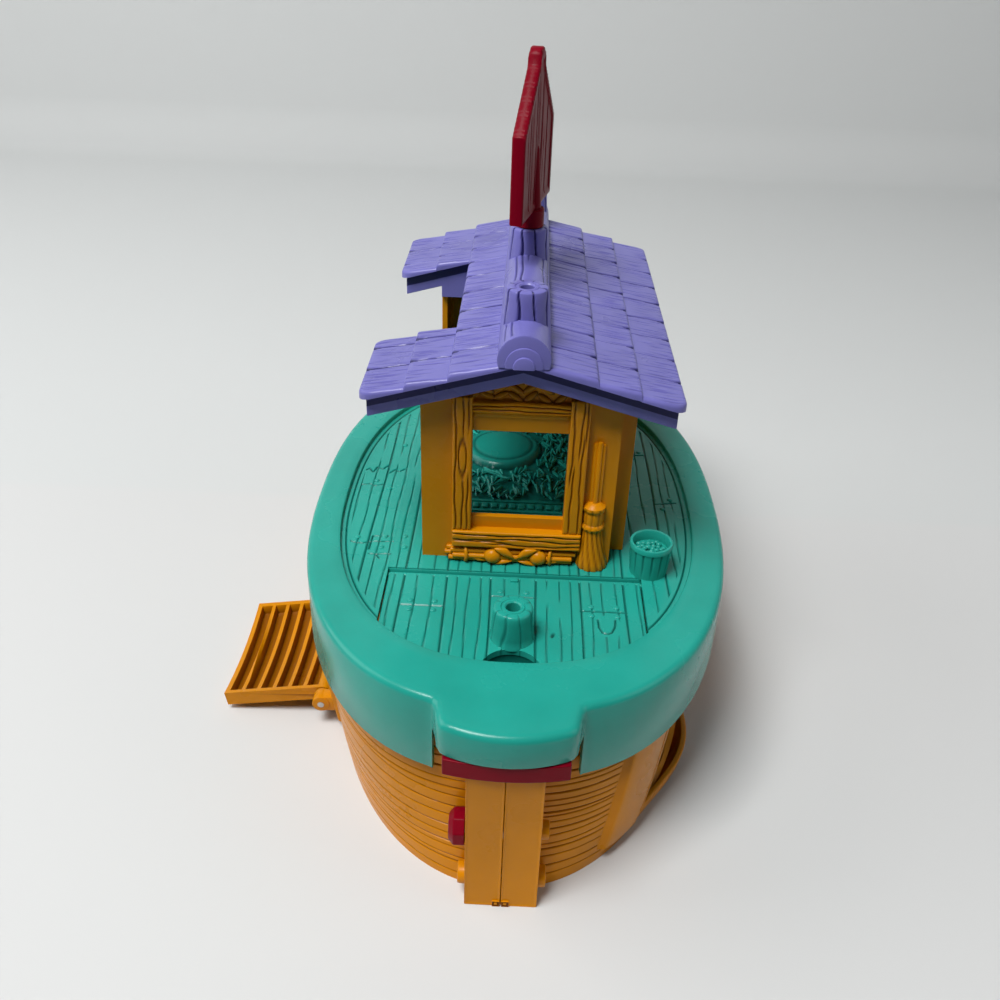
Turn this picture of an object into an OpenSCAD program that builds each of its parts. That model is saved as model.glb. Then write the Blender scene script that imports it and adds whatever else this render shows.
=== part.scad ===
// Toy ark: a planked hull with a hinged deck lid, a little house, a ramp door and a turning sign.
// Millimetres, +Z up, bow towards -Y, origin on the floor below the middle of the deck.

/* [Deck] */
// Half the width of the deck
deck_half_width = 90; // [84:0.5:96]
// Half the length of the deck, without the bow lobe
deck_half_length = 139; // [132:0.5:146]
// Height of the deck's rim above the floor
deck_top = 91; // [86:0.5:98]
// Thickness of the rim plate
rim_thickness = 3; // [2.6:0.1:4]
// Radius of the rim's rounded outer edge
rim_round = 2.8; // [1:0.1:3]
// Depth of the skirt amidships, from the rim's top
skirt_depth = 27; // [24:0.5:29]
// How much lower the skirt hangs at bow and stern
skirt_sheer = 7; // [5:0.5:8]
// Wall of the skirt
skirt_wall = 2.2; // [1.8:0.1:2.6]
// Width of the rim beside the sunken plank floor
rim_side_width = 13; // [10:0.5:16]
// Width of the rim at bow and stern
rim_end_width = 24; // [21:0.5:27]
// How far the plank floor lies below the rim
floor_drop = 2.5; // [2:0.1:3]
// Thickness of the plank floor
floor_thickness = 2.4; // [2:0.1:3]
// How far the bow lobe stands out from the deck
lobe_reach = 14; // [12:0.5:16]
// Half the width of the bow lobe
lobe_half_width = 25; // [23:0.5:27]
// Radius of the lobe's rounded front
lobe_front_round = 50; // [44:1:70]
// Depth of the lobe's own skirt
lobe_skirt = 14; // [12:0.5:16]

/* [Bucket] */
// Outer radius of the bucket moulded on the deck
bucket_radius = 8.8; // [8:0.1:10]
// Height of the bucket above the plank floor
bucket_height = 14.5; // [12:0.5:17]
// Depth of the bucket's hollow
bucket_well = 4.5; // [3:0.5:10]
// Wall of the bucket
bucket_wall = 1.5; // [1.2:0.1:2]
// Sideways place of the bucket
bucket_x = 55; // [55:0.5:58]
// Place of the bucket ahead of the deck's middle
bucket_ahead = 52; // [48:0.5:56]

/* [Hull] */
// How far the hull's foot lies inside the deck's edge at the sides
foot_side_inset = 9; // [6:0.5:13]
// How far the hull's foot reaches past the deck's edge at bow and stern
foot_end_reach = 3; // [-1:0.5:4]
// Wall of the hull
hull_wall = 2.4; // [2:0.1:3]
// Gap between the hull and the inside of the skirt, at the skirt's lower edge
hull_gap = 1.6; // [1.5:0.1:2]
// How far the hull leans in above the skirt's lower edge
hull_lean = 1.4; // [1.2:0.1:2]
// Number of strakes on each side
strake_count = 7; // [5:1:9]
// Depth of the groove between two strakes
strake_groove = 0.7; // [0.4:0.1:1]
// Thickness of the bottom plate
bottom_thickness = 3; // [2:0.5:4]

/* [Stem and stern post] */
// Half the width of the stem and of the stern post
stem_half_width = 13.7; // [12.5:0.1:15]
// How far the stem's front face stands ahead of the deck's edge
stem_reach = 11; // [9:0.5:13]
// Height of the square locating clip at the stem's foot
clip_size = 2.5; // [2:0.1:3]

/* [Deck hinge] */
// Distance of the hinge pin behind the deck's edge
hinge_reach = 8; // [7:0.5:9]
// Height of the hinge pin above the floor
hinge_height = 54; // [52:0.5:54.5]
// Radius of the hinge pin
hinge_pin_radius = 2; // [1.5:0.1:2.4]
// Radius of the hinge knuckle
knuckle_radius = 4.2; // [3.8:0.1:4.6]
// Width of each deck lug
lug_width = 4; // [3:0.5:6]

/* [Bow latch] */
// Height of the latch band
latch_height = 8; // [7:0.5:9]
// Thickness of the latch band
latch_band = 4; // [3:0.5:5]
// Radius of the latch band's front
latch_front_round = 100; // [60:5:140]
// Half the width of the latch band
latch_half_width = 22; // [20:0.5:22.5]
// Travel of the latch when it is pressed
latch_travel = 3; // [2:0.5:4]
// Thickness of the latch arm
latch_arm = 2; // [1.5:0.1:2.4]
// Half the width of the latch arm
latch_arm_half_width = 7; // [5:0.5:9]
// Radius of the latch spring's coil, to the middle of the wire
spring_radius = 1.8; // [1.5:0.1:2]
// Radius of the spring wire
spring_wire = 0.3; // [0.2:0.05:0.4]
// Number of turns in the latch spring
spring_turns = 7; // [5:1:9]

/* [Bow knob] */
// Radius of the knob, across its corners
knob_radius = 7.2; // [6.5:0.1:8]
// Thickness of the knob
knob_thickness = 6; // [5:0.5:8]
// Radius of the knob's shaft
shaft_radius = 2.5; // [2:0.1:3]
// Height of the shaft above the floor
knob_height = 36; // [32:0.5:40]
// Distance of the shaft behind the stem's front face
knob_setback = 7; // [6:0.5:9]

/* [Doorways] */
// Width of the left doorway
door_width = 67.6; // [62:0.2:72]
// Place of the left doorway's middle ahead of the deck's middle
door_ahead = 21; // [16:0.5:26]
// Height of the sill
sill_height = 9; // [7:0.5:9.2]
// Height of the doorways' upper edge
lintel_height = 60.5; // [58:0.5:60.5]
// Width of the jamb boards
jamb_width = 7; // [6:0.5:9]
// Angle round the hull at which the right doorway starts
right_door_start = -47; // [-50:0.5:-44]
// Angle round the hull at which the right doorway ends
right_door_end = -14; // [-18:0.5:-10]
// Angle that the right doorway's smooth board covers
board_span = 9; // [7:0.5:11]
// How far the smooth board stands out from the hull
board_proud = 1.8; // [1:0.1:2.5]

/* [Ramp door] */
// Length of the ramp from its pin to its free end
ramp_length = 46; // [42:0.5:46]
// Thickness of the ramp's frame
ramp_depth = 7; // [6:0.5:7]
// Sag of the ramp's curved section
ramp_sag = 2.5; // [1.5:0.1:3]
// Wall of the ramp's frame and skin
ramp_wall = 2.2; // [1.6:0.1:2.6]
// Number of cleats on the ramp
cleat_count = 5; // [3:1:7]
// Thickness of a cleat
cleat_width = 1.8; // [1.2:0.1:2.2]
// How far the ramp's pins lie inside the deck's edge
ramp_pin_inset = 6; // [4:0.5:6.5]
// Height of the ramp's pins above the floor
ramp_pin_height = 13; // [12.8:0.2:14]
// Radius of the ramp's pins
ramp_pin_radius = 1.5; // [1.2:0.1:1.8]

/* [Hatch] */
// Half the width of the hatch opening
hatch_half_width = 51.7; // [48:0.1:54]
// Plank floor between the hatch opening and the house
hatch_to_house = 9.6; // [8:0.2:14]
// Width of a deck plank
plank_width = 17.9; // [15:0.1:20]
// Width of the seam between two planks
plank_seam = 0.8; // [0.5:0.1:1.2]
// Depth of the seam between two planks
plank_seam_depth = 0.6; // [0.4:0.1:1]
// Thickness of the hatch
hatch_thickness = 2.6; // [2.2:0.1:3]
// How far the hatch lies below the plank floor
hatch_drop = 1.2; // [0.8:0.1:1.5]
// Radius of the hatch's trunnions
trunnion_radius = 1; // [0.8:0.05:1.1]
// Radius of the finger notch
notch_radius = 11.3; // [9:0.1:13]
// Height of the stump on the hatch
hatch_stump_height = 13.7; // [12:0.1:16]
// Distance of the stump from the rim
hatch_stump_setback = 19; // [19:0.5:25]

/* [House] */
// Distance of the front wall ahead of the deck's middle
house_ahead = 48.4; // [46:0.2:50]
// Gap between the rear wall and the rim behind it
rear_wall_gap = 3; // [2:0.5:7]
// Half the width of the front wall
front_half_width = 38.7; // [37:0.1:40]
// Distance of the right wall's outer face from the centre plane
right_wall_out = 45.4; // [43.5:0.1:47]
// Distance of the left wall's outer face from the centre plane
left_wall_out = 41; // [39:0.1:43]
// Thickness of the house walls
house_wall = 2.6; // [2:0.1:3]
// Height of the ridge's underside above the plank floor
house_height = 92; // [88:0.5:96]
// Depth of the front wall's side returns
porch_depth = 10; // [8:0.5:12]
// Half the width of the window
window_half_width = 18.6; // [16:0.1:20]
// Height of the window's lower edge above the plank floor
window_low = 20.5; // [18:0.5:22]
// Height of the window's upper edge above the plank floor
window_high = 60; // [56:0.5:62]
// Plain wall between the window and the board above it
header_gap = 8.5; // [6:0.5:10]
// Height of the board above the window
header_height = 4.5; // [4:0.1:5]
// Plain wall between the window and the sill
sill_gap = 5; // [4:0.1:6]
// Width of the boards round the window
frame_board = 7.6; // [6:0.1:8.5]
// How far the boards stand out from the wall
frame_proud = 3.4; // [2.5:0.1:4]
// Radius of the broom's foot
broom_radius = 5.6; // [5:0.1:6]
// Height of the broom
broom_height = 63; // [58:0.5:66]
// Radius of the reed bundle
reed_radius = 3; // [2.5:0.1:3.3]
// Radius of the knots on the reed bundle
knot_radius = 3.4; // [3:0.1:3.5]

/* [Roof] */
// Half the width of the roof
roof_half_width = 60.5; // [58:0.5:64]
// Overhang of the roof at the front and rear walls
roof_overhang = 12; // [10:0.5:14]
// Slope of the roof's underside, rise over run
roof_slope = 0.28; // [0.24:0.01:0.3]
// Distance of the upper step from the ridge
upper_step = 27.5; // [25:0.5:30]
// Distance of the lower step from the ridge
lower_step = 43.5; // [41:0.5:46]
// Thickness of a shingle course at its lower edge
shingle_lip = 4.3; // [3.6:0.1:5]
// Height of the step from one course to the next
shingle_step = 1.9; // [1.4:0.1:2.2]
// Width of a shingle
shingle_width = 20.5; // [18:0.5:23]
// Width of the joint between two shingles
shingle_joint = 0.8; // [0.5:0.1:1.2]
// Depth of the joint between two shingles
shingle_joint_depth = 0.6; // [0.4:0.1:1]
// Rounding of the roof's corners
roof_corner = 5; // [3:0.5:7]
// Start of the notch, ahead of the deck's middle
notch_ahead = 11; // [8:0.5:13]
// End of the notch, behind the deck's middle
notch_back = 71; // [66:0.5:74]
// Depth of the frame under the eaves
fascia_depth = 5.6; // [4.5:0.1:7]
// Thickness of the frame under the eaves
fascia_wall = 1.8; // [1.4:0.1:2.4]
// Radius of the ridge log
log_radius = 9.7; // [9:0.1:11]
// Radius of the stumps on the ridge
stump_radius = 8.2; // [7.5:0.1:9]
// Height of the stumps above the ridge log
stump_height = 10; // [8:0.5:12]
// Spacing of the stumps
stump_spacing = 74.5; // [70:0.5:76]
// Radius of the peg sockets
socket_radius = 2.7; // [2.4:0.05:3]
// Depth of the peg sockets
socket_depth = 10; // [8:0.5:11]

/* [Sign] */
// Width of the sign
sign_width = 56; // [48:0.5:62]
// Thickness of the sign
sign_thickness = 5.5; // [4:0.1:7]
// Height of the sign's straight sides
sign_side = 34; // [28:0.5:38]
// Height of the sign from its lower edge to its point
sign_height = 60; // [54:0.5:64]
// Radius of the sign's foot
sign_foot_radius = 6; // [5.5:0.1:7]
// Height of the sign's foot
sign_foot_height = 8; // [6:0.5:10]
// Height of the tapered stem behind the plaque
sign_stem_height = 26; // [20:0.5:30]
// Turn of the sign away from the boat's length
sign_turn = -12; // [-20:1:20]

/* [Hidden] */
$fn = 64;

// Colours of the mouldings
teal = [0.24, 0.67, 0.59];
amber = [0.75, 0.49, 0.10];
purple = [0.49, 0.46, 0.75];
crimson = [0.69, 0.06, 0.24];
steel = [0.7, 0.7, 0.72];

// Clearances
fit_gap = 0.05;
slip_gap = 0.3;
seat_gap = 0.05;
mould_line = 0.15;
swing_gap = 0.8;
lap = 1;

// Plans tied to the deck's edge
floor_half_width = deck_half_width - rim_side_width;
floor_half_length = deck_half_length - rim_end_width;
hull_foot_half_width = deck_half_width - foot_side_inset;
hull_foot_half_length = deck_half_length + foot_end_reach;
stem_front = deck_half_length + stem_reach;
hinge_back = deck_half_length + hinge_reach;
knob_ahead = stem_front - knob_setback;
ramp_pin_out = deck_half_width - ramp_pin_inset;
hatch_stump_ahead = floor_half_length - hatch_stump_setback;
house_back = floor_half_length - rear_wall_gap;

// Oval plans
deck_power = 2.4;
foot_power = 2.05;
lobe_power = 30;
lobe_blend = 36;
lobe_span = 18;
hull_steps = 26;
hull_curve = 1.45;
seam_angle = 91;

// Heights
floor_top = deck_top - floor_drop;
rim_under = deck_top - rim_thickness;
floor_under = floor_top - floor_thickness;
knee = deck_top - skirt_depth;
hull_top = rim_under - slip_gap;
lobe_low = deck_top - lobe_skirt;
stem_top = lobe_low - latch_height;
skirt_low = knee - skirt_sheer;

// Plans of the hull at its knee
knee_half_width = deck_half_width - skirt_wall - hull_gap;
knee_half_length = deck_half_length - skirt_wall - hull_gap - 0.7;
stem_back = knee_half_length - hull_wall - 1;
bow_opening = lobe_half_width + 1.5;

// Hatch
hatch_top = floor_top - hatch_drop;
hatch_under = hatch_top - hatch_thickness;
hatch_gap = 0.5;
hatch_depth = floor_half_length - house_ahead - hatch_to_house;
hatch_hinge_y = -floor_half_length + hatch_depth - swing_gap - hatch_thickness / 2;
hatch_hinge_z = hatch_top - hatch_thickness / 2;
trunnion_length = 3.5;
ledge_width = 3;
ledge_thickness = 1.8;
ledge_top = hatch_under - slip_gap;
scoop_low = ledge_top - 7;

// House and roof
roof_front_y = -house_ahead - roof_overhang;
roof_rear_y = house_back + roof_overhang;
ridge_under = floor_top + house_height;
log_centre = ridge_under + 2.8;
stump_top = log_centre + log_radius + stump_height;
stump_middle_y = (roof_front_y + roof_rear_y) / 2 + 4.7;
fascia_inset = 4.5;
eave_inset = 2.5;
infill_under = roof_under(roof_half_width) - fascia_depth;
wall_joint = -house_ahead + porch_depth;

// Ramp
door_front_y = -door_ahead - door_width / 2;
door_rear_y = -door_ahead + door_width / 2;
ramp_half_width = door_width / 2 - swing_gap;
ramp_tilt = asin((ramp_pin_height - ramp_depth / 2 - ramp_sag - 0.25) / ramp_length);
ramp_radius = (pow(ramp_half_width, 2) + pow(ramp_sag, 2)) / (2 * ramp_sag);
barrel_radius = ramp_depth / 2 - 0.1;
jamb_out = ramp_pin_out + 4;
pin_seat = 6;

// Latch
latch_low = stem_top + slip_gap;
latch_high = lobe_low - slip_gap;
latch_front = deck_half_length + lobe_reach - 1;
keeper_y = -deck_half_length + 13;
keeper_low = latch_low + latch_arm + 2.6;
hook_gap = 0.5;
hook_thickness = 2.6;
hook_rise = 2.9;
hook_y = keeper_y + 4.5 + hook_gap;
spring_height = latch_low + latch_arm + spring_radius + spring_wire + 0.4;

// Screws
small_screw = 1;
small_head = 2.4;
post_radius = 2.7;
post_height = 9;
screw_radius = 1.45;
screw_head_radius = 2.8;
screw_head = 2;
boss_radius = 4.4;
boss_proud = 3;
screw_height = 10;
screw_ahead = stem_front - knob_setback;
upper_screw_height = 36;

function signed_power(v, e) = sign(v) * pow(abs(v), e);

// Point of an oval at the running angle t
function oval_point(a, b, n, t) = [a * signed_power(cos(t), 2 / n), b * signed_power(sin(t), 2 / n)];

function oval_outline(a, b, n = deck_power) = [for (t = [0:5:355]) oval_point(a, b, n, t)];

// Distance from the middle to an oval's edge in the direction t
function oval_reach(a, b, n, t) = pow(pow(abs(cos(t)) / a, n) + pow(abs(sin(t)) / b, n), -1 / n);

// Distance from the middle to the lobe's straight side, and to its rounded front
function lobe_side(inset, t) = (lobe_half_width - inset) / max(abs(cos(t)), 0.001);

function lobe_front(inset, t) =
    let (centre = deck_half_length + lobe_reach - lobe_front_round)
    -centre * sin(t) + sqrt(max(0, pow(lobe_front_round - inset, 2) - pow(centre * cos(t), 2)));

function lobe_edge(inset, t) = sin(t) < 0
    ? pow(pow(lobe_side(inset, t), -lobe_power) + pow(lobe_front(inset, t), -lobe_power), -1 / lobe_power)
    : 0;

// The deck's edge: an oval that flows into the bow lobe
function deck_edge(inset, t) = pow(
    pow(oval_reach(deck_half_width - inset, deck_half_length - inset, deck_power, t), lobe_blend)
    + pow(lobe_edge(inset, t), lobe_blend), 1 / lobe_blend);

deck_angles = [
    for (t = [-90 - lobe_span:1.2:-90 + lobe_span]) t,
    for (t = [-90 + lobe_span + 6:6:270 - lobe_span - 6]) t
];

function deck_outline(inset) = [for (t = deck_angles) deck_edge(inset, t) * [cos(t), sin(t)]];

// Share of the way from the knee down to the foot
function foot_share(z) = z < knee ? pow(1 - z / knee, hull_curve) : 0;

function lean_at(z) = z > knee ? hull_lean * (z - knee) / (hull_top - knee) : 0;

function mix(from, to, share) = from + (to - from) * share;

// Point of the hull's side at height z and running angle t, moved in by inset
function hull_point(z, t, inset) =
    let (
        a = mix(knee_half_width, hull_foot_half_width, foot_share(z)) - lean_at(z) - inset,
        b = mix(knee_half_length, hull_foot_half_length, foot_share(z)) - lean_at(z) - inset,
        p = oval_point(a, b, mix(deck_power, foot_power, foot_share(z)), t)
    )
    [p[0], p[1], z];

strake_height = knee / strake_count;
groove_half = 0.8;

// Heights and insets of the planked outside, from the floor up
plank_levels = [
    [0, 0],
    for (k = [1:strake_count - 1], s = [-1:1])
        [k * strake_height + s * groove_half, s == 0 ? strake_groove : 0],
    [knee, 0],
    [hull_top, 0]
];
inner_levels = [for (z = [0, knee / 3, 2 * knee / 3, knee, hull_top]) [z, hull_wall]];

function flat(lists) = [for (list = lists) each list];

// Two triangles for each cell of a grid of points with the given rows and columns
function grid_faces(first, rows, columns, turned) = flat([
    for (r = [0:rows - 2], c = [0:columns - 2])
        let (
            p = first + r * columns + c,
            q = p + columns,
            cell = [[p, p + 1, q + 1], [p, q + 1, q]]
        )
        turned ? [for (f = cell) [f[2], f[1], f[0]]] : cell
]);

// Solid between two sets of levels on the hull's side, from angle t0 to angle t1 on the right
module hull_patch(t0, t1, outer, inner, steps) {
    columns = steps + 1;
    rows_out = len(outer);
    rows_in = len(inner);
    angles = [for (i = [0:steps]) t0 + (t1 - t0) * i / steps];
    points = [
        for (level = outer, t = angles) hull_point(level[0], t, level[1]),
        for (level = inner, t = angles) hull_point(level[0], t, level[1])
    ];
    first_in = rows_out * columns;
    top_out = (rows_out - 1) * columns;
    top_in = first_in + (rows_in - 1) * columns;
    edges = flat([
        for (c = [0:steps - 1]) [
            [c, first_in + c + 1, c + 1], [c, first_in + c, first_in + c + 1],
            [top_out + c, top_out + c + 1, top_in + c + 1], [top_out + c, top_in + c + 1, top_in + c]
        ]
    ]);
    start = [
        for (r = [0:rows_out - 1]) r * columns,
        for (r = [rows_in - 1:-1:0]) first_in + r * columns
    ];
    end = [
        for (r = [rows_in - 1:-1:0]) first_in + r * columns + steps,
        for (r = [0:rows_out - 1]) r * columns + steps
    ];
    ends = rows_out == rows_in ? flat([
        for (r = [0:rows_out - 2])
            let (
                a = r * columns,
                b = first_in + r * columns
            )
            [
                [a, a + columns, b + columns], [a, b + columns, b],
                [a + steps, b + columns + steps, a + columns + steps], [a + steps, b + steps, b + columns + steps]
            ]
    ]) : [start, [for (i = [len(end) - 1:-1:0]) end[i]]];
    polyhedron(points, concat(
        grid_faces(0, rows_out, columns, true), grid_faces(first_in, rows_in, columns, false), edges, ends));
}

// Solid through a stack of outlines with equal numbers of points
module loft(outlines) {
    columns = len(outlines[0]);
    last = (len(outlines) - 1) * columns;
    sides = flat([
        for (r = [0:len(outlines) - 2], c = [0:columns - 1])
            let (
                p = r * columns + c,
                q = r * columns + (c + 1) % columns
            )
            [[p, q + columns, q], [p, p + columns, q + columns]]
    ]);
    polyhedron(flat(outlines), concat(
        sides,
        [[for (c = [0:columns - 1]) c]],
        [[for (c = [columns - 1:-1:0]) last + c]]));
}

module along_x(x0, x1, r) translate([x0, 0, 0]) rotate([0, 90, 0]) cylinder(r = r, h = x1 - x0);

module along_y(y0, y1, r) translate([0, y0, 0]) rotate([-90, 0, 0]) cylinder(r = r, h = y1 - y0);

module left_side() mirror([1, 0, 0]) children();

// Half of the stem or the stern post, on the right of the seam
module post_half(height) translate([-lap, -stem_front, 0])
    cube([stem_half_width + lap, stem_front - stem_back, height]);

// What both hull halves share, drawn on the right
module hull_half() {
    difference() {
        union() {
            hull_patch(-seam_angle, seam_angle, plank_levels, inner_levels, hull_steps);
            post_half(stem_top);
            mirror([0, 1, 0]) post_half(hinge_height - knuckle_radius);
            translate([0, hinge_back, hinge_height]) along_x(-lap, stem_half_width, knuckle_radius);
            translate([-lap, hinge_back - knuckle_radius, hinge_height - 2 * knuckle_radius])
                cube([stem_half_width + lap, 2 * knuckle_radius, 2 * knuckle_radius]);
        }
        // the seam between the two halves
        translate([-deck_half_width, -2 * deck_half_length, -lap])
            cube([deck_half_width, 4 * deck_half_length, 2 * deck_top]);
        translate([0, hinge_back, hinge_height]) along_x(-lap, stem_half_width + lap, hinge_pin_radius + fit_gap);
        // slot for the latch arm, and the open corner above the stem
        translate([-lap, -stem_front - lap, latch_low - slip_gap])
            cube([latch_arm_half_width + slip_gap + lap, stem_front, latch_arm + 2 * slip_gap]);
        // pocket of the locating clip
        translate([-lap, -stem_front - lap, -lap])
            cube([clip_size + 0.6 + fit_gap + lap, clip_size + lap + fit_gap, clip_size + lap + fit_gap]);
        // bore and collar pocket of the knob's shaft
        translate([0, -knob_ahead, knob_height]) {
            along_x(-lap, stem_half_width + boss_proud - 1, shaft_radius + fit_gap);
            along_x(-lap, collar_half + slip_gap, collar_radius + slip_gap);
        }
    }
}

collar_radius = shaft_radius + 1.5;
collar_half = 1;

module screw_places() {
    for (place = [[-screw_ahead, screw_height], [screw_ahead, screw_height], [screw_ahead, upper_screw_height]])
        translate([0, place[0], place[1]]) children();
}

module hull_left() color(amber) difference() {
    union() {
        left_side() difference() {
            hull_half();
            // doorway, closed by the ramp when it is folded up
            translate([stem_half_width, door_front_y, sill_height])
                cube([deck_half_width, door_width, lintel_height - sill_height]);
        }
        // jamb boards that carry the ramp's pins
        left_side() for (y = [door_front_y - jamb_width, door_rear_y])
            difference() {
                translate([hull_foot_half_width * 0.9, y, sill_height / 2])
                    cube([jamb_out - hull_foot_half_width * 0.9, jamb_width, lintel_height - sill_height / 2]);
                translate([ramp_pin_out, 0, ramp_pin_height])
                    along_y(y - lap, y + jamb_width + lap, ramp_pin_radius + fit_gap);
            }
        left_side() screw_places() along_x(stem_half_width - lap, stem_half_width + boss_proud - 0.4, boss_radius);
    }
    screw_places() along_x(-stem_half_width, lap, screw_radius + fit_gap);
    // through bore of the knob's shaft
    translate([0, -knob_ahead, knob_height])
        along_x(-stem_half_width - boss_proud - lap, lap, shaft_radius + fit_gap);
}

module hull_right() color(amber) difference() {
    union() {
        difference() {
            hull_half();
            // doorway in the bow quarter
            hull_patch(right_door_start, right_door_end,
                [[sill_height, -4], [lintel_height, -4]], [[sill_height, 6], [lintel_height, 6]], 8);
        }
        // smooth board and two ridges beside the doorway
        hull_patch(right_door_start - board_span - 2, right_door_start - 2,
            [[sill_height, -board_proud], [skirt_low, -board_proud]], [[sill_height, lap], [skirt_low, lap]], 3);
        for (step = [0:1])
            hull_patch(right_door_start - 1.4 + step, right_door_start - 0.8 + step * 0.8,
                [[sill_height, -0.7], [skirt_low, -0.7]], [[sill_height, lap], [skirt_low, lap]], 1);
        screw_places() along_x(stem_half_width - lap, stem_half_width + boss_proud, boss_radius);
        // blind bearing of the knob's shaft
        translate([0, -knob_ahead, knob_height])
            along_x(stem_half_width - lap, stem_half_width + boss_proud, shaft_radius + 1.2);
    }
    screw_places() {
        along_x(-lap, stem_half_width + boss_proud + lap, screw_radius + 0.3);
        along_x(stem_half_width + boss_proud - screw_head - 0.4, stem_half_width + boss_proud + lap,
            screw_head_radius + 0.2);
    }
    translate([0, -knob_ahead, knob_height])
        along_x(-lap, stem_half_width + boss_proud - 1, shaft_radius + fit_gap);
}

// Half of the plan of the room inside the hull at height z
function inside_points(z) = [
    for (i = [1:hull_steps - 1])
        let (p = hull_point(z, -seam_angle + 2 * seam_angle * i / hull_steps, hull_wall + 0.15))
        [p[0], p[1]]
];

module inside_plan(z) {
    right = inside_points(z);
    polygon([each right, for (i = [len(right) - 1:-1:0]) [-right[i][0], right[i][1]]]);
}

module hull_bottom() color(amber) difference() {
    linear_extrude(bottom_thickness) intersection() {
        inside_plan(0);
        inside_plan(bottom_thickness * 1.2);
    }
    for (side = [0, 1]) mirror([0, side, 0])
        translate([-stem_half_width - 0.15, -stem_front, -lap])
            cube([2 * (stem_half_width + 0.15), stem_front - stem_back + 0.15, bottom_thickness + 2 * lap]);
}

// Staple that keeps the two halves of the stem in line
module stem_clip() color(amber) translate([0, -stem_front + 0.2, 0]) difference() {
    translate([-clip_size - 0.6, 0, 0]) cube([2 * (clip_size + 0.6), clip_size - 0.2, clip_size]);
    translate([-0.4, -lap, -lap]) cube([0.8, lap + 1, clip_size + 2 * lap]);
}

module hull_screws() color(steel) screw_places() {
    along_x(-stem_half_width + 2, stem_half_width + boss_proud - screw_head - 0.3, screw_radius);
    along_x(stem_half_width + boss_proud - screw_head - 0.3, stem_half_width + boss_proud - 0.3, screw_head_radius);
}

module deck_hinge_pin() color(steel) translate([0, hinge_back, hinge_height])
    along_x(-stem_half_width - lug_width - 0.4, stem_half_width + lug_width + 0.4, hinge_pin_radius);

module ramp_pins() color(steel) left_side() translate([ramp_pin_out, 0, ramp_pin_height])
    for (span = [
        [door_front_y - jamb_width, door_front_y + pin_seat],
        [door_rear_y - pin_seat, door_rear_y + jamb_width]
    ])
        along_y(span[0], span[1], ramp_pin_radius);

// Piece of the curved ramp panel between two depths below its upper face
module ramp_layer(upper, lower) {
    radius = ramp_radius;
    translate([-lap, -door_ahead, radius - ramp_depth / 2 - ramp_sag]) difference() {
        along_x(0, ramp_length + 2 * lap, radius - ramp_depth + lower);
        along_x(-lap, ramp_length + 3 * lap, radius - ramp_depth + upper);
    }
}

module ramp_block(from, to, inset) translate([from, -door_ahead - ramp_half_width + inset, -ramp_depth])
    cube([to - from, 2 * (ramp_half_width - inset), 2 * ramp_depth]);

module ramp_door() color(amber) left_side() translate([ramp_pin_out, 0, ramp_pin_height]) rotate([0, ramp_tilt, 0]) {
    pocket = (ramp_length - 2 * ramp_wall - cleat_count * cleat_width) / (cleat_count + 1);
    difference() {
        union() {
            difference() {
                intersection() {
                    ramp_layer(0, ramp_depth);
                    ramp_block(0, ramp_length, 0);
                }
                for (k = [0:cleat_count])
                    intersection() {
                        ramp_layer(-lap, ramp_depth - ramp_wall);
                        ramp_block(ramp_wall + k * (pocket + cleat_width), ramp_wall + k * (pocket + cleat_width) + pocket,
                            ramp_wall);
                    }
            }
            along_y(-door_ahead - ramp_half_width, -door_ahead + ramp_half_width, barrel_radius);
        }
        for (side = [-1, 1])
            translate([0, -door_ahead + side * ramp_half_width, 0])
                along_y(-pin_seat - lap, pin_seat + lap, ramp_pin_radius + fit_gap);
    }
}

// Crescent band under the lobe, with the arm and hook that hold the deck down
module bow_latch() color(crimson) {
    intersection() {
        translate([0, latch_front_round - latch_front, latch_low]) linear_extrude(latch_high - latch_low)
            difference() {
                circle(r = latch_front_round, $fn = 180);
                circle(r = latch_front_round - latch_band, $fn = 180);
            }
        translate([-latch_half_width, -latch_front - lap, 0])
            cube([2 * latch_half_width, lobe_reach, deck_top]);
    }
    translate([-latch_arm_half_width, -latch_front + latch_band / 2, latch_low])
        cube([2 * latch_arm_half_width, latch_front - latch_band / 2 + hook_y + hook_thickness, latch_arm]);
    translate([-latch_arm_half_width, hook_y, latch_low])
        cube([2 * latch_arm_half_width, hook_thickness, keeper_low - latch_low + hook_rise]);
}

// Points of one ring round the spring wire
function wire_ring(turn, length) =
    let (
        a = 360 * turn,
        lead = length * turn / spring_turns
    )
    [for (s = [0:5])
        let (r = spring_radius + spring_wire * cos(60 * s))
        [r * cos(a), lead + spring_wire * sin(60 * s), r * sin(a)]];

module latch_spring() color(steel) {
    seat_front = -latch_front + latch_band;
    seat_rear = -hull_point(spring_height, -90, 0)[1] * -1;
    length = seat_rear - seat_front - 2 * spring_wire - 0.2;
    translate([0, seat_front + spring_wire + 0.1, spring_height])
        loft([for (i = [0:8 * spring_turns]) wire_ring(i / 8, length)]);
}

module bow_knob() color(crimson) translate([-stem_half_width - slip_gap, -knob_ahead, knob_height])
    mirror([1, 0, 0]) rotate([0, 90, 0]) difference() {
        rotate([0, 0, 22.5]) union() {
            cylinder(r = knob_radius, h = knob_thickness - 2, $fn = 8);
            translate([0, 0, knob_thickness - 2]) cylinder(r1 = knob_radius, r2 = knob_radius - 2.4, h = 2, $fn = 8);
        }
        translate([0, 0, -lap]) cylinder(r = shaft_radius + 0.02, h = lap + knob_thickness - 1.5);
    }

module knob_shaft() color(steel) translate([0, -knob_ahead, knob_height]) {
    along_x(-stem_half_width - slip_gap - knob_thickness + 1.6, stem_half_width + boss_proud - 1.2, shaft_radius);
    along_x(-collar_half, collar_half, collar_radius);
}

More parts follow.
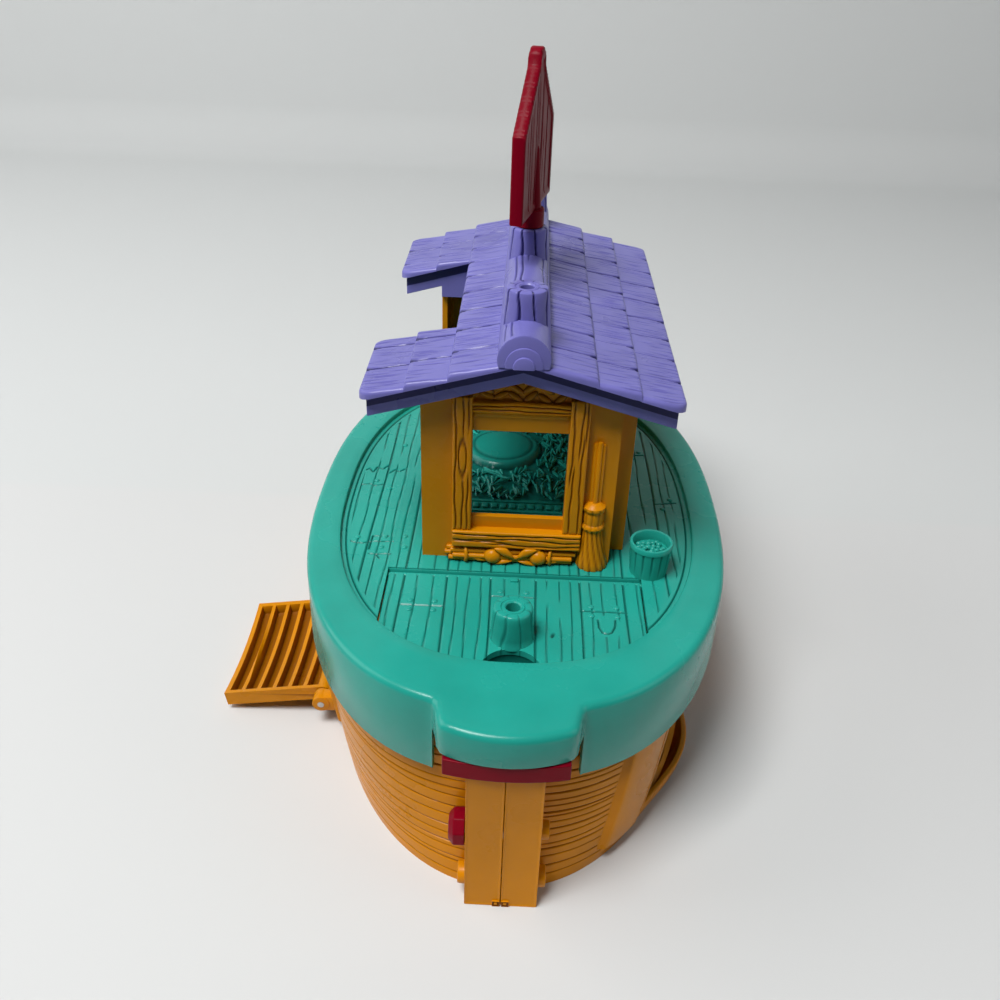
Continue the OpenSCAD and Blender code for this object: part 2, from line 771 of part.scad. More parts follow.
// Lower edge of the skirt, which hangs lower towards bow and stern
function skirt_edge(y) = knee - skirt_sheer * pow(min(abs(y) / deck_half_length, 1), 2);

function edge_ring(inset, z) = [for (p = deck_outline(inset)) [p[0], p[1], z]];

function skirt_ring(inset) = [for (p = deck_outline(inset)) [p[0], p[1], skirt_edge(p[1])]];

function floor_ring(grow, z) = [
    for (t = deck_angles)
        let (r = oval_reach(floor_half_width + grow, floor_half_length + grow, deck_power, t))
        [r * cos(t), r * sin(t), z]
];

// Rim, skirt and sunken floor in one skin, from the floor's underside round to its upper face
module deck_body() loft([
    floor_ring(2, floor_under),
    floor_ring(2, rim_under),
    edge_ring(skirt_wall, rim_under),
    skirt_ring(skirt_wall),
    skirt_ring(0),
    for (a = [0:30:90]) edge_ring(rim_round * (1 - cos(a)), deck_top - rim_round * (1 - sin(a))),
    floor_ring(0.8, deck_top),
    floor_ring(0, deck_top - 0.8),
    floor_ring(0, floor_top)
]);

// Plank floor's oval, moved out by grow
module floor_plan(grow) polygon(oval_outline(floor_half_width + grow, floor_half_length + grow));

// Hatch opening, or the hatch itself, moved in by gap
module hatch_plan(gap) intersection() {
    floor_plan(-mould_line * 2 - gap);
    translate([-hatch_half_width + gap, -floor_half_length])
        square([2 * (hatch_half_width - gap), hatch_depth - gap]);
}

module deck_lug() rotate([90, 0, 90]) linear_extrude(lug_width) union() {
    translate([hinge_back, hinge_height]) circle(r = knuckle_radius);
    polygon([
        [deck_half_length - skirt_wall / 2, skirt_low + skirt_sheer / 4],
        [deck_half_length - skirt_wall / 2, skirt_low + 14],
        [hinge_back + 0.7 * knuckle_radius * sin(30), hinge_height + 0.7 * knuckle_radius * cos(30)],
        [hinge_back - 0.7 * knuckle_radius * sin(60), hinge_height - 0.7 * knuckle_radius * cos(60)]
    ]);
}

module deck() color(teal) difference() {
    socket_out = hatch_half_width + slip_gap;
    boss = 2 * (trunnion_radius + 1.6);
    union() {
        difference() {
            deck_body();
            // opening for the stem and the latch
            translate([-bow_opening, -deck_half_length - lobe_reach - lap, 0])
                cube([2 * bow_opening, deck_half_length, lobe_low]);
        }
        // ledge and finger scoop under the hatch
        translate([0, 0, ledge_top - ledge_thickness])
            linear_extrude(floor_under - ledge_top + ledge_thickness + 1) intersection() {
                difference() {
                    floor_plan(1.7);
                    floor_plan(-ledge_width);
                }
                translate([-hatch_half_width, -floor_half_length - 3]) square([2 * hatch_half_width, hatch_depth]);
            }
        intersection() {
            translate([0, -floor_half_length, scoop_low]) cylinder(r = notch_radius + 1.5, h = ledge_top - scoop_low);
            translate([0, 0, scoop_low]) linear_extrude(ledge_top - scoop_low) floor_plan(1.7);
        }
        // sockets of the hatch's trunnions
        for (side = [0, 1]) mirror([side, 0, 0])
            translate([socket_out, hatch_hinge_y - boss / 2, hatch_hinge_z - boss / 2])
                cube([trunnion_length + 1.5, boss, floor_top - 0.5 - hatch_hinge_z + boss / 2]);
        // keeper of the latch
        translate([-latch_arm_half_width, keeper_y, keeper_low])
            cube([2 * latch_arm_half_width, 2, rim_under - keeper_low + 0.2]);
        translate([-latch_arm_half_width, keeper_y, keeper_low])
            cube([2 * latch_arm_half_width, 4.5, 1.8]);
        for (side = [0, 1]) mirror([side, 0, 0])
            translate([stem_half_width + slip_gap, 0, 0]) deck_lug();
        translate([bucket_x, -bucket_ahead, floor_top - lap])
            cylinder(r = bucket_radius, h = bucket_height + lap);
    }
    translate([0, 0, ledge_top]) linear_extrude(floor_top - ledge_top + lap) hatch_plan(0);
    intersection() {
        translate([0, -floor_half_length - 0.5, scoop_low + 1.5]) cylinder(r = notch_radius, h = hatch_top - scoop_low);
        translate([0, 0, scoop_low]) linear_extrude(hatch_top - scoop_low) floor_plan(-2 * mould_line);
    }
    for (side = [0, 1]) mirror([side, 0, 0])
        translate([0, hatch_hinge_y, hatch_hinge_z])
            along_x(socket_out - lap, socket_out + trunnion_length + 0.2, trunnion_radius + fit_gap);
    house_screw_places() translate([0, 0, floor_under - lap])
        cylinder(r = small_screw + 0.4, h = floor_thickness + 2 * lap);
    translate([0, hinge_back, hinge_height])
        along_x(-2 * stem_half_width, 2 * stem_half_width, hinge_pin_radius + fit_gap);
    translate([bucket_x, -bucket_ahead, floor_top + bucket_height - bucket_well])
        cylinder(r = bucket_radius - bucket_wall, h = bucket_well + lap);
}

module stump(base_radius, top_radius, height) rotate_extrude()
    polygon([
        [0, 0], [base_radius, 0], [top_radius, height - 1], [top_radius - 0.8, height], [0, height]
    ]);

module hatch() color(teal) difference() {
    union() {
        difference() {
            translate([0, 0, hatch_under]) linear_extrude(hatch_thickness) intersection() {
                hatch_plan(hatch_gap);
                translate([-hatch_half_width, -floor_half_length])
                    square([2 * hatch_half_width, floor_half_length + hatch_hinge_y]);
            }
            translate([0, -floor_half_length - 0.5, hatch_under - lap])
                cylinder(r = notch_radius, h = hatch_thickness + 2 * lap);
            // seams between the planks
            for (x = [plank_width / 2:plank_width:hatch_half_width - plank_seam], side = [-1, 1])
                translate([side * x - plank_seam / 2, -floor_half_length - lap, hatch_top - plank_seam_depth])
                    cube([plank_seam, floor_half_length + hatch_hinge_y - hatch_thickness, hatch_thickness]);
        }
        translate([0, hatch_hinge_y, hatch_hinge_z]) {
            along_x(-hatch_half_width + hatch_gap, hatch_half_width - hatch_gap, hatch_thickness / 2);
            along_x(-hatch_half_width - trunnion_length + 0.2, hatch_half_width + trunnion_length - 0.2, trunnion_radius);
        }
        translate([0, -hatch_stump_ahead, hatch_top - 0.5]) stump(9, 6.8, hatch_stump_height + 0.5);
    }
    translate([0, -hatch_stump_ahead, hatch_top + hatch_stump_height - socket_depth])
        cylinder(r = socket_radius, h = socket_depth + lap);
}

// Height of the roof's underside at distance x from the ridge
function roof_under(x) = ridge_under - roof_slope * x;

// Wall that ends under the slope of the roof, in the XZ plane, with its rear face on y
module gable_wall(from, to, y, thickness) translate([0, y, 0]) rotate([90, 0, 0]) linear_extrude(thickness)
    polygon([
        [from, floor_top], [to, floor_top], [to, roof_under(abs(to)) - seat_gap],
        if (from < 0 && to > 0) [0, roof_under(0) - seat_gap],
        [from, roof_under(abs(from)) - seat_gap]
    ]);

module side_wall(out, y0, y1) translate([out - house_wall, y0, floor_top])
    cube([house_wall, y1 - y0, roof_under(out) - seat_gap - floor_top]);

module front_screws() for (side = [-1, 1])
    translate([side * (front_half_width - house_wall - 2), -house_ahead + house_wall + 2, 0]) children();

module right_screw() translate([right_wall_out - house_wall - 2, house_back / 3, 0]) children();

module rear_screw() translate([0, house_back - house_wall - 2, 0]) children();

module house_screw_places() {
    front_screws() children();
    right_screw() children();
    rear_screw() children();
}

module screw_post() translate([0, 0, floor_top]) cylinder(r = post_radius, h = post_height);

module screw_hole() translate([0, 0, floor_top - lap]) cylinder(r = small_screw + fit_gap, h = post_height + lap - 1);

module house_front() color(amber) difference() {
    board_y = -house_ahead - frame_proud;
    frame_half = window_half_width + frame_board;
    sill_low = floor_top + window_low - frame_board - sill_gap;
    board_top = floor_top + window_high + header_gap + header_height + 2.5;
    union() {
        gable_wall(-front_half_width, front_half_width, -house_ahead + house_wall, house_wall);
        translate([front_half_width - house_wall, -house_ahead + lap, floor_top])
            cube([house_wall, porch_depth - seat_gap - lap, roof_under(front_half_width) - seat_gap - floor_top]);
        translate([-front_half_width, -house_ahead + lap, floor_top])
            cube([house_wall, house_ahead - notch_ahead - 5 - lap, roof_under(front_half_width) - seat_gap - floor_top]);
        // boards round the window
        for (side = [0, 1]) mirror([side, 0, 0])
            translate([window_half_width, board_y, sill_low + frame_board])
                cube([frame_board, frame_proud + lap, board_top - sill_low - frame_board]);
        translate([-frame_half, board_y - 1, sill_low]) cube([2 * frame_half, frame_proud + 1 + lap, frame_board]);
        translate([-frame_half, board_y + 1, floor_top + window_high + header_gap])
            cube([2 * frame_half, frame_proud - 1 + lap, header_height]);
        // broom leaning beside the window
        translate([frame_half + broom_radius - 1, -house_ahead - 0.6, floor_top]) rotate_extrude(angle = 360)
            polygon([
                for (p = [
                    [0, 0], [1, 0], [0.93, 0.05], [0.64, 0.19], [0.59, 0.28], [0.68, 0.3], [0.68, 0.33], [0.56, 0.35],
                    [0.56, 0.41], [0.68, 0.43], [0.68, 0.46], [0.4, 0.49], [0.4, 0.98], [0, 1]
                ])
                    [p[0] * broom_radius, p[1] * broom_height]
            ]);
        // bundle of reeds with its two knots
        translate([0, -house_ahead - reed_radius / 2, floor_top + knot_radius + 0.2]) {
            along_x(-frame_half - reed_radius, frame_half - broom_radius + 1, reed_radius);
            for (side = [-1, 1])
                translate([side * window_half_width / 2, -knot_radius / 2, 0]) sphere(r = knot_radius);
        }
        front_screws() screw_post();
    }
    front_screws() screw_hole();
    translate([-window_half_width, -house_ahead - frame_proud - 3, floor_top + window_low])
        cube([2 * window_half_width, house_wall + frame_proud + 6, window_high - window_low]);
}

module house_right() color(amber) difference() {
    union() {
        side_wall(right_wall_out, wall_joint, house_back - house_wall - seat_gap);
        translate([front_half_width - house_wall, wall_joint, floor_top])
            cube([right_wall_out - front_half_width + house_wall, house_wall,
                roof_under(right_wall_out) - seat_gap - floor_top]);
        right_screw() screw_post();
    }
    right_screw() screw_hole();
    rim_room();
}

module house_rear() color(amber) difference() {
    union() {
        gable_wall(-left_wall_out, right_wall_out, house_back, house_wall);
        translate([-left_wall_out, notch_back + 5, floor_top])
            cube([house_wall, house_back - notch_back - 5 - lap, roof_under(left_wall_out) - seat_gap - floor_top]);
        rear_screw() screw_post();
    }
    rear_screw() screw_hole();
    rim_room();
}

// Space of the rim outside the sunken floor
module rim_room() translate([0, 0, floor_top - lap]) linear_extrude(floor_drop + lap + seat_gap) difference() {
    square(4 * deck_half_length, center = true);
    floor_plan(-2 * mould_line);
}

module house_screws() color(steel) house_screw_places() translate([0, 0, floor_under - 1.6]) {
    cylinder(r = small_head, h = 1.55);
    cylinder(r = small_screw, h = 1.6 + floor_thickness + post_height - 2);
}

// Cross-section of one side of the shingled roof
module roof_section() {
    steps = [0, upper_step, lower_step, roof_half_width];
    polygon([
        for (k = [1:3]) each [
            [steps[k - 1], roof_under(steps[k - 1]) + shingle_lip - shingle_step],
            [steps[k], roof_under(steps[k]) + shingle_lip]
        ],
        [roof_half_width, roof_under(roof_half_width)],
        [0, ridge_under]
    ]);
}

// Joints between the shingles of one side, down all three courses
module shingle_joints() {
    steps = [log_radius + 0.6, upper_step, lower_step, roof_half_width];
    for (y = [roof_front_y + shingle_width:shingle_width:roof_rear_y - shingle_width / 2], k = [1:3]) {
        upper = k == 1 ? 0 : steps[k - 1];
        rise = shingle_step * (steps[k - 1] - upper) / (steps[k] - upper);
        start = roof_under(steps[k - 1]) + shingle_lip - shingle_step + rise;
        end = roof_under(steps[k]) + shingle_lip;
        translate([0, y + shingle_joint / 2, 0]) rotate([90, 0, 0]) linear_extrude(shingle_joint) polygon([
            [steps[k - 1] + 0.2, start - shingle_joint_depth], [steps[k] + lap, end - shingle_joint_depth],
            [steps[k] + lap, end + shingle_lip], [steps[k - 1] + 0.2, start + shingle_lip]
        ]);
    }
}

// Prism that leaves a rounded corner when it is cut away
module corner_cut(x, y, x_side, y_side) translate([x, y, 0]) linear_extrude(2 * ridge_under) difference() {
    translate([x_side > 0 ? -roof_corner : -lap, y_side > 0 ? -roof_corner : -lap])
        square(roof_corner + lap);
    translate([-x_side * roof_corner, -y_side * roof_corner]) circle(r = roof_corner);
}

module roof() color(purple) difference() {
    union() {
        for (side = [0, 1]) mirror([side, 0, 0])
            translate([0, roof_rear_y, 0]) rotate([90, 0, 0]) linear_extrude(roof_rear_y - roof_front_y) roof_section();
        // ridge log with rings at its front end
        for (ring = [[log_radius, 0], [log_radius - 3.1, 0.9], [log_radius - 6.3, 1.8]])
            translate([0, roof_rear_y - lap, 0]) rotate([90, 0, 0])
                linear_extrude(roof_rear_y - lap - roof_front_y + ring[1]) intersection() {
                    translate([0, log_centre]) circle(r = ring[0]);
                    translate([-2 * log_radius, ridge_under]) square(4 * log_radius);
                }
        for (k = [-1:1])
            translate([0, stump_middle_y + k * stump_spacing, log_centre])
                stump(stump_radius, stump_radius - 0.6, stump_top - log_centre);
    }
    for (side = [0, 1]) mirror([side, 0, 0]) shingle_joints();
    // notch above the open side of the house
    translate([-2 * roof_half_width, -notch_ahead, 0])
        cube([2 * roof_half_width - upper_step, notch_back + notch_ahead, 2 * ridge_under]);
    for (side = [-1, 1]) {
        corner_cut(side * roof_half_width, roof_front_y, side, -1);
        corner_cut(side * roof_half_width, roof_rear_y, side, 1);
    }
    corner_cut(-roof_half_width, -notch_ahead, -1, 1);
    corner_cut(-roof_half_width, notch_back, -1, -1);
    for (k = [-1:1])
        translate([0, stump_middle_y + k * stump_spacing, stump_top - socket_depth])
            cylinder(r = socket_radius, h = socket_depth + lap);
}

// Strip under the slope, from x0 to x1, with its rear face on y
module fascia_strip(x0, x1, y, thickness) translate([0, y, 0]) rotate([90, 0, 0]) linear_extrude(thickness)
    polygon([
        [x0, roof_under(abs(x0))], if (x0 < 0 && x1 > 0) [0, ridge_under], [x1, roof_under(abs(x1))],
        [x1, roof_under(abs(x1)) - fascia_depth],
        if (x0 < 0 && x1 > 0) [0, ridge_under - fascia_depth],
        [x0, roof_under(abs(x0)) - fascia_depth]
    ]);

module roof_frame() color(purple) {
    out = roof_half_width - eave_inset;
    front = roof_front_y + fascia_inset;
    rear = roof_rear_y - fascia_inset;
    bay_front = -notch_ahead - eave_inset;
    bay_rear = notch_back + eave_inset;
    fascia_strip(-out, out, front + fascia_wall, fascia_wall);
    fascia_strip(-out, out, rear, fascia_wall);
    fascia_strip(out - fascia_wall, out, rear, rear - front);
    fascia_strip(-out, -out + fascia_wall, bay_front, bay_front - front);
    fascia_strip(-out, -out + fascia_wall, rear, rear - bay_rear);
    fascia_strip(-upper_step + eave_inset - fascia_wall, -upper_step + eave_inset, bay_rear, bay_rear - bay_front);
    for (y = [bay_front, bay_rear + fascia_wall]) {
        fascia_strip(-out, -upper_step + eave_inset, y, fascia_wall);
        // infill between the strip and the wall below it
        translate([0, y, 0]) rotate([90, 0, 0]) linear_extrude(fascia_wall) polygon([
            [-left_wall_out, roof_under(left_wall_out)], [-left_wall_out, infill_under],
            [-upper_step + eave_inset, infill_under],
            [-upper_step + eave_inset, roof_under(upper_step - eave_inset)]
        ]);
    }
}

module sign() color(crimson) translate([0, stump_middle_y, stump_top]) rotate([0, 0, sign_turn]) {
    translate([0, 0, 0.2]) cylinder(r = sign_foot_radius, h = sign_foot_height - 0.2);
    translate([0, 0, -socket_depth + 1]) cylinder(r = socket_radius - fit_gap, h = socket_depth);
    translate([-sign_thickness / 2, 0, sign_foot_height - 0.4]) rotate([90, 0, 90]) linear_extrude(sign_thickness)
        union() {
            polygon([
                [-sign_width / 2, 2], [-sign_width / 2 + 2, 0], [sign_width / 2 - 2, 0], [sign_width / 2, 2],
                [sign_width / 2, sign_side], [4, sign_height - 2], [-4, sign_height - 2], [-sign_width / 2, sign_side]
            ]);
            translate([0, sign_height - 2]) circle(r = 5);
        }
    // tapered stem that carries the plaque
    translate([0, 0, sign_foot_height - 1]) cylinder(r1 = sign_thickness / 2 + 1.8, r2 = sign_thickness / 2, h = sign_stem_height);
}

hull_left();
hull_right();
hull_bottom();
stem_clip();
hull_screws();
deck_hinge_pin();
ramp_pins();
ramp_door();
bow_latch();
latch_spring();
bow_knob();
knob_shaft();
deck();
hatch();
house_front();
house_right();
house_rear();
house_screws();
roof();
roof_frame();
sign();
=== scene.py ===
import math
import bpy
import bmesh
import numpy as np
from bmesh.types import BMEdge, BMVert
from mathutils import Matrix, Vector


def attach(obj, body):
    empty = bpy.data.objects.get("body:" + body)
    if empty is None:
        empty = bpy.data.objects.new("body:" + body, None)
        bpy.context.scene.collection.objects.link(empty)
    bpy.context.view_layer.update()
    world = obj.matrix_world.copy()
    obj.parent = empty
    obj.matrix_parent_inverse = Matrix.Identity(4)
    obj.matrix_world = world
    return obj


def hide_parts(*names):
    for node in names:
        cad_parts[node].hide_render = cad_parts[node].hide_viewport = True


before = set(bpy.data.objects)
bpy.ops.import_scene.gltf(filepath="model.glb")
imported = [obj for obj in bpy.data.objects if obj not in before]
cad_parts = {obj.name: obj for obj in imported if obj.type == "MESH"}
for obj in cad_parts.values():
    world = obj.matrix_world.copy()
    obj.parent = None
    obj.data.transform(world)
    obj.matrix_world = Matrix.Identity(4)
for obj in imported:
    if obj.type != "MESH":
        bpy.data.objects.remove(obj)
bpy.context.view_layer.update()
scene = bpy.context.scene
scene.view_settings.view_transform = "Standard"
MM = 0.001

# The camera stands in front of the bow and looks down on the deck.
# It leans a little to the side, as a hand-held one does.
lens = bpy.data.cameras.new("camera")
lens.sensor_width = 36.0
lens.lens = 35.28
lens.clip_start = 0.01
camera = bpy.data.objects.new("camera", lens)
scene.collection.objects.link(camera)
camera.matrix_world = (
    Matrix.Translation((-1.3 * MM, -381.6 * MM, 327.0 * MM))
    @ Matrix.Rotation(math.radians(1.0), 4, "Z")
    @ Matrix.Rotation(math.radians(90 - 32.2), 4, "X")
    @ Matrix.Rotation(math.radians(2.0), 4, "Z")
)
scene.camera = camera

# The studio is a pale paper sheet on a dark table, running up into a pale wall behind,
# under three broad soft lamps: one above the front, one to the left and a weak one to the right.
world = bpy.data.worlds.new("studio")
world.use_nodes = True
world.node_tree.nodes["Background"].inputs["Color"].default_value = (0.9, 0.93, 0.96, 1)
world.node_tree.nodes["Background"].inputs["Strength"].default_value = 0.04
scene.world = world
for name, spot, aim, size, power in (
    ("key_lamp", (-0.5, -0.62, 1.7), (0, 0, 0.1), 0.7, 34),
    ("side_lamp", (-1.35, 0.1, 0.95), (0, -0.05, 0.12), 1.1, 9),
    ("fill_lamp", (1.25, -0.3, 0.8), (0, 0, 0.1), 1.0, 3),
):
    lamp = bpy.data.lights.new(name, "AREA")
    lamp.size = size
    lamp.energy = power
    light = bpy.data.objects.new(name, lamp)
    turn = (Vector(aim) - Vector(spot)).to_track_quat("-Z", "Y").to_matrix().to_4x4()
    light.matrix_world = Matrix.Translation(spot) @ turn
    scene.collection.objects.link(light)


def only(kind, geom):
    """The points or the edges among the geometry that an operator gives back."""
    return [g for g in geom if isinstance(g, kind)]


def fill(tree, node, inputs):
    """Sets a shader node's inputs to values, or joins them to other nodes' outputs."""
    for name, value in inputs.items():
        if isinstance(value, bpy.types.NodeSocket):
            tree.links.new(value, node.inputs[name])
        else:
            node.inputs[name].default_value = value


def output(tree, kind, socket, inputs, **settings):
    """An output of a new shader node, which is set up and filled."""
    node = tree.nodes.new("ShaderNode" + kind)
    for name, value in settings.items():
        setattr(node, name, value)
    fill(tree, node, inputs)
    return node.outputs[socket]


bm = bmesh.new()
bmesh.ops.create_grid(bm, x_segments=8, y_segments=1, size=2.5)
bmesh.ops.translate(bm, verts=bm.verts[:], vec=(0, -1.55, 0))
wall_edges = [e for e in bm.edges if all(v.co.y > 0.9 for v in e.verts)]
for rise, back in ((0.01, 0.04), (0.05, 0.05), (2.5, 0.1)):
    grown = bmesh.ops.extrude_edge_only(bm, edges=wall_edges)["geom"]
    bmesh.ops.translate(bm, verts=only(BMVert, grown), vec=(0, back, rise))
    wall_edges = only(BMEdge, grown)
mesh = bpy.data.meshes.new("paper_sheet")
bm.to_mesh(mesh)
bm.free()
mesh.shade_smooth()
paper_sheet = bpy.data.objects.new("paper_sheet", mesh)
scene.collection.objects.link(paper_sheet)
paper = bpy.data.materials.new("paper")
paper.use_nodes = True
tree = paper.node_tree
distance = output(tree, "SeparateXYZ", "Y", {"Vector": output(tree, "TexCoord", "Object", {})})
tone = (0.61, 0.625, 0.62, 1)
for first, last, nearer in ((0.128, 0.136, (0.62, 0.625, 0.62, 1)), (-0.37, -0.35, (0.06, 0.06, 0.06, 1))):
    change = output(tree, "MapRange", "Result", {"Value": distance, "From Min": first, "From Max": last})
    tone = output(tree, "Mix", "Result", {"Factor": change, "A": nearer, "B": tone}, data_type="RGBA")
fill(tree, tree.nodes["Principled BSDF"], {"Base Color": tone, "Roughness": 0.85})
mesh.materials.append(paper)


# The hull is moulded in two amber halves that meet on the seam at stem and stern post.
# Each half is a thin planked wall; the mould-maker cut the seams between the strakes and a
# wavy wood grain into it. The left half has the ramp's doorway, the right half an open one.
def sheet(bm, columns, rows, place, depths=None, drops=None):
    """A grid of columns by rows, put where place says. Depths are carved in and kept on each point
    as the strength of painted shade; drops only lower it."""
    painted_shade = bm.verts.layers.float.get("painted_shade") or bm.verts.layers.float.new("painted_shade")
    grid = bmesh.ops.create_grid(bm, x_segments=len(columns) - 1, y_segments=len(rows) - 1, size=1)["verts"]
    for v in grid:
        i = round((v.co.x + 1) / 2 * (len(columns) - 1))
        j = round((v.co.y + 1) / 2 * (len(rows) - 1))
        d = 0.0 if depths is None else float(depths[i, j])
        v.co = place(columns[i], rows[j], d if drops is None else d + float(drops[i, j]))
        v[painted_shade] = max(0.0, d)
    return grid


def groove(depths, across, along, centre, first, last, deep, half, fade=6.0):
    """Adds one round-bottomed groove along a line that fades out at both ends."""
    ends = np.clip((along - first) / fade, 0, 1) * np.clip((last - along) / fade, 0, 1)
    off = np.abs(across - centre) / (half * (0.45 + 0.55 * ends) + 1e-6)
    return np.maximum(depths, deep * ends**0.5 * np.clip(1 - off * off, 0, 1) ** 1.5)


def grain(across, along, seed, low, high, first, last, gap, deep, half, wave):
    """Depths of the wavy grain lines cut along a board that lies between low and high."""
    rng = np.random.default_rng(seed)
    depths = np.zeros_like(across)
    for k in range(max(1, int((high - low) / gap))):
        base = low + (k + 0.5 + rng.uniform(-0.3, 0.3)) * gap
        swing = rng.uniform(0.4, 1.0) * wave
        length = rng.uniform(0.35, 1.1) * (last - first)
        begin = rng.uniform(first - 0.15 * (last - first), last - 0.5 * length)
        phase, pitch = rng.uniform(0, 6.3), rng.uniform(35, 70)
        line = base + swing * np.sin(6.283 * along / pitch + phase)
        line += 0.3 * swing * np.sin(6.283 * along / 17 + 2 * phase)
        cut = deep * rng.uniform(0.7, 1.0)
        depths = groove(depths, across, along, line, begin, begin + length, cut, half)
    return depths


def ripple(rng, along, high, short, long):
    """A gentle wave along a line, of a chance length."""
    return high * np.sin(along / rng.uniform(short, long) + rng.uniform(0, 6))


def sidestep(rng, along, most, far, short, long):
    """How far a grain line steps aside at a chance place, as it does round a knot."""
    aside = rng.uniform(-most, most)
    return aside * np.exp(-(((along - rng.uniform(-far, far)) / rng.uniform(short, long)) ** 2))


def steps(low, high, gap, soft=0.0):
    """Even stations from low to high, with closer ones where an edge is rounded."""
    inner = list(np.linspace(low + soft, high - soft, max(2, round((high - low - 2 * soft) / gap) + 1)))
    if soft:
        near = [0.0, 0.13 * soft, 0.5 * soft]
        inner = [low + n for n in near] + inner + [high - n for n in reversed(near)]
    return inner


def paint(red, green, blue):
    """A colour as a paint chart gives it, made linear."""
    shares = [c / 255 for c in (red, green, blue)]
    return tuple(s / 12.92 if s <= 10 / 255 else ((s + 0.055) / 1.055) ** 2.4 for s in shares) + (1.0,)


def noise(tree, scale, detail):
    """A noise texture in the piece's own space."""
    spot = output(tree, "TexCoord", "Object", {})
    return output(tree, "TexNoise", "Fac", {"Vector": spot, "Scale": scale, "Detail": detail})


def ramp(tree, value, *ends):
    """A colour that runs between two tones, each given with its place."""
    node = tree.nodes.new("ShaderNodeValToRGB")
    for end, (place, tone) in zip(node.color_ramp.elements, ends):
        end.position, end.color = place, tone
    fill(tree, node, {"Fac": value})
    return node.outputs["Color"]


def moulded_plastic(name, colour, deep, rough, shine):
    """Dyed moulded plastic: a faint cloudiness in the dye, a fine mould texture, and painted shade in the
    carving.
    """
    mat = bpy.data.materials.new(name)
    mat.use_nodes = True
    tree = mat.node_tree
    cloud = noise(tree, 28, 5)
    darker, paler = ([min(1, c * share) for c in colour[:3]] + [1] for share in (0.86, 1.08))
    dye = ramp(tree, cloud, (0.25, darker), (0.75, paler))
    # the carving's depth and other marked points darken the dye towards the deep colour: painted shade
    cut = output(tree, "Attribute", "Fac", {}, attribute_name="painted_shade")
    reach = output(tree, "MapRange", "Result", {"Value": cut, "From Max": 0.6, "To Max": 0.92})
    shaded_dye = output(tree, "Mix", "Result", {"Factor": reach, "A": dye, "B": deep}, data_type="RGBA")
    sheen = output(tree, "MapRange", "Result",
                   {"Value": cloud, "To Min": rough - 0.08, "To Max": rough + 0.12})
    bump = output(tree, "Bump", "Normal",
                  {"Height": noise(tree, 900, 3), "Strength": 0.12, "Distance": 0.0003})
    fill(tree, tree.nodes["Principled BSDF"],
         {"Base Color": shaded_dye, "Roughness": sheen, "Normal": bump, "Specular IOR Level": shine})
    return mat


amber = moulded_plastic("amber_plastic", paint(206, 131, 4), paint(92, 38, 0), rough=0.28, shine=0.18)


def close_back(bm, grid, back):
    """Gives a carved sheet its thickness: its border is drawn back and the rear is closed."""
    faces = {f for v in grid for f in v.link_faces}
    border = [e for f in faces for e in f.edges if len(e.link_faces) == 1]
    drawn = bmesh.ops.extrude_edge_only(bm, edges=list(set(border)))["geom"]
    rear = set(only(BMVert, drawn))
    for v in rear:
        v.co = back(v.co)
    rim = [e for e in only(BMEdge, drawn) if all(v in rear for v in e.verts)]
    bmesh.ops.holes_fill(bm, edges=rim, sides=0)


def flat_back(bm, grid, height):
    """Closes a sheet that lies flat with a level underside."""
    close_back(bm, grid, lambda p: Vector((p.x, p.y, height)))


def faces_of(bm, verts):
    """The faces of a sheet, told by its points."""
    own = set(verts)
    return [f for f in bm.faces if f.verts[0] in own]


def faces_in(faces, axis, low, high, bottom, top):
    """The faces with their middles in an opening, from low to high along an axis and from bottom to top."""
    middles = ((f, f.calc_center_median()) for f in faces)
    return {f for f, middle in middles if low < middle[axis] < high and bottom < middle.z < top}


def thicken(bm, faces, out, thick):
    """Gives a sheet of faces an even thickness on the side away from out, with no painted shade on its back.
    """
    bmesh.ops.recalc_face_normals(bm, faces=faces)
    if sum(f.normal.dot(out) for f in faces) < 0:
        bmesh.ops.reverse_faces(bm, faces=faces)
    inner = bmesh.ops.solidify(bm, geom=faces, thickness=thick)["geom"]
    painted_shade = bm.verts.layers.float["painted_shade"]
    for v in only(BMVert, inner):
        v[painted_shade] = 0.0


def round_edges(bm, edges, width, clamp=False):
    """Rounds edges as a mould leaves them."""
    bmesh.ops.bevel(bm, geom=list(edges), offset=width, offset_type="OFFSET", affect="EDGES", segments=2,
                    profile=0.5, material=-1, clamp_overlap=clamp)


def block(bm, middle, size):
    """A plain block about its middle."""
    made = bmesh.ops.create_cube(bm, size=1)["verts"]
    bmesh.ops.scale(bm, verts=made, vec=size)
    bmesh.ops.translate(bm, verts=made, vec=middle)
    return made


def edges_of(verts):
    """The edges that meet at some points."""
    return {e for v in verts for e in v.link_edges}


def rounded_block(bm, low, high, soft):
    """A block between two corners with rounded edges."""
    made = block(bm, [(h + l) / 2 for l, h in zip(low, high)], [h - l for l, h in zip(low, high)])
    round_edges(bm, edges_of(made), soft, clamp=True)


def rod(bm, middle, about, long, radius, tip=None, segments=36):
    """A round bar about its middle that may narrow to its tip.
    Turned about Y it lies along X, turned about X along Y."""
    lie = Matrix.Translation(middle) @ Matrix.Rotation(math.pi / 2, 4, about)
    return bmesh.ops.create_cone(bm, cap_ends=True, segments=segments, radius1=radius,
                                 radius2=radius if tip is None else tip, depth=long, matrix=lie)["verts"]


def finished(bm, name, material, sharp):
    """Puts a finished mesh into the scene, smooth but for edges beyond an angle."""
    mesh = bpy.data.meshes.new(name)
    bm.to_mesh(mesh)
    bm.free()
    mesh.shade_smooth()
    mesh.set_sharp_from_angle(angle=math.radians(sharp))
    mesh.materials.append(material)
    piece = bpy.data.objects.new(name, mesh)
    scene.collection.objects.link(piece)
    return piece


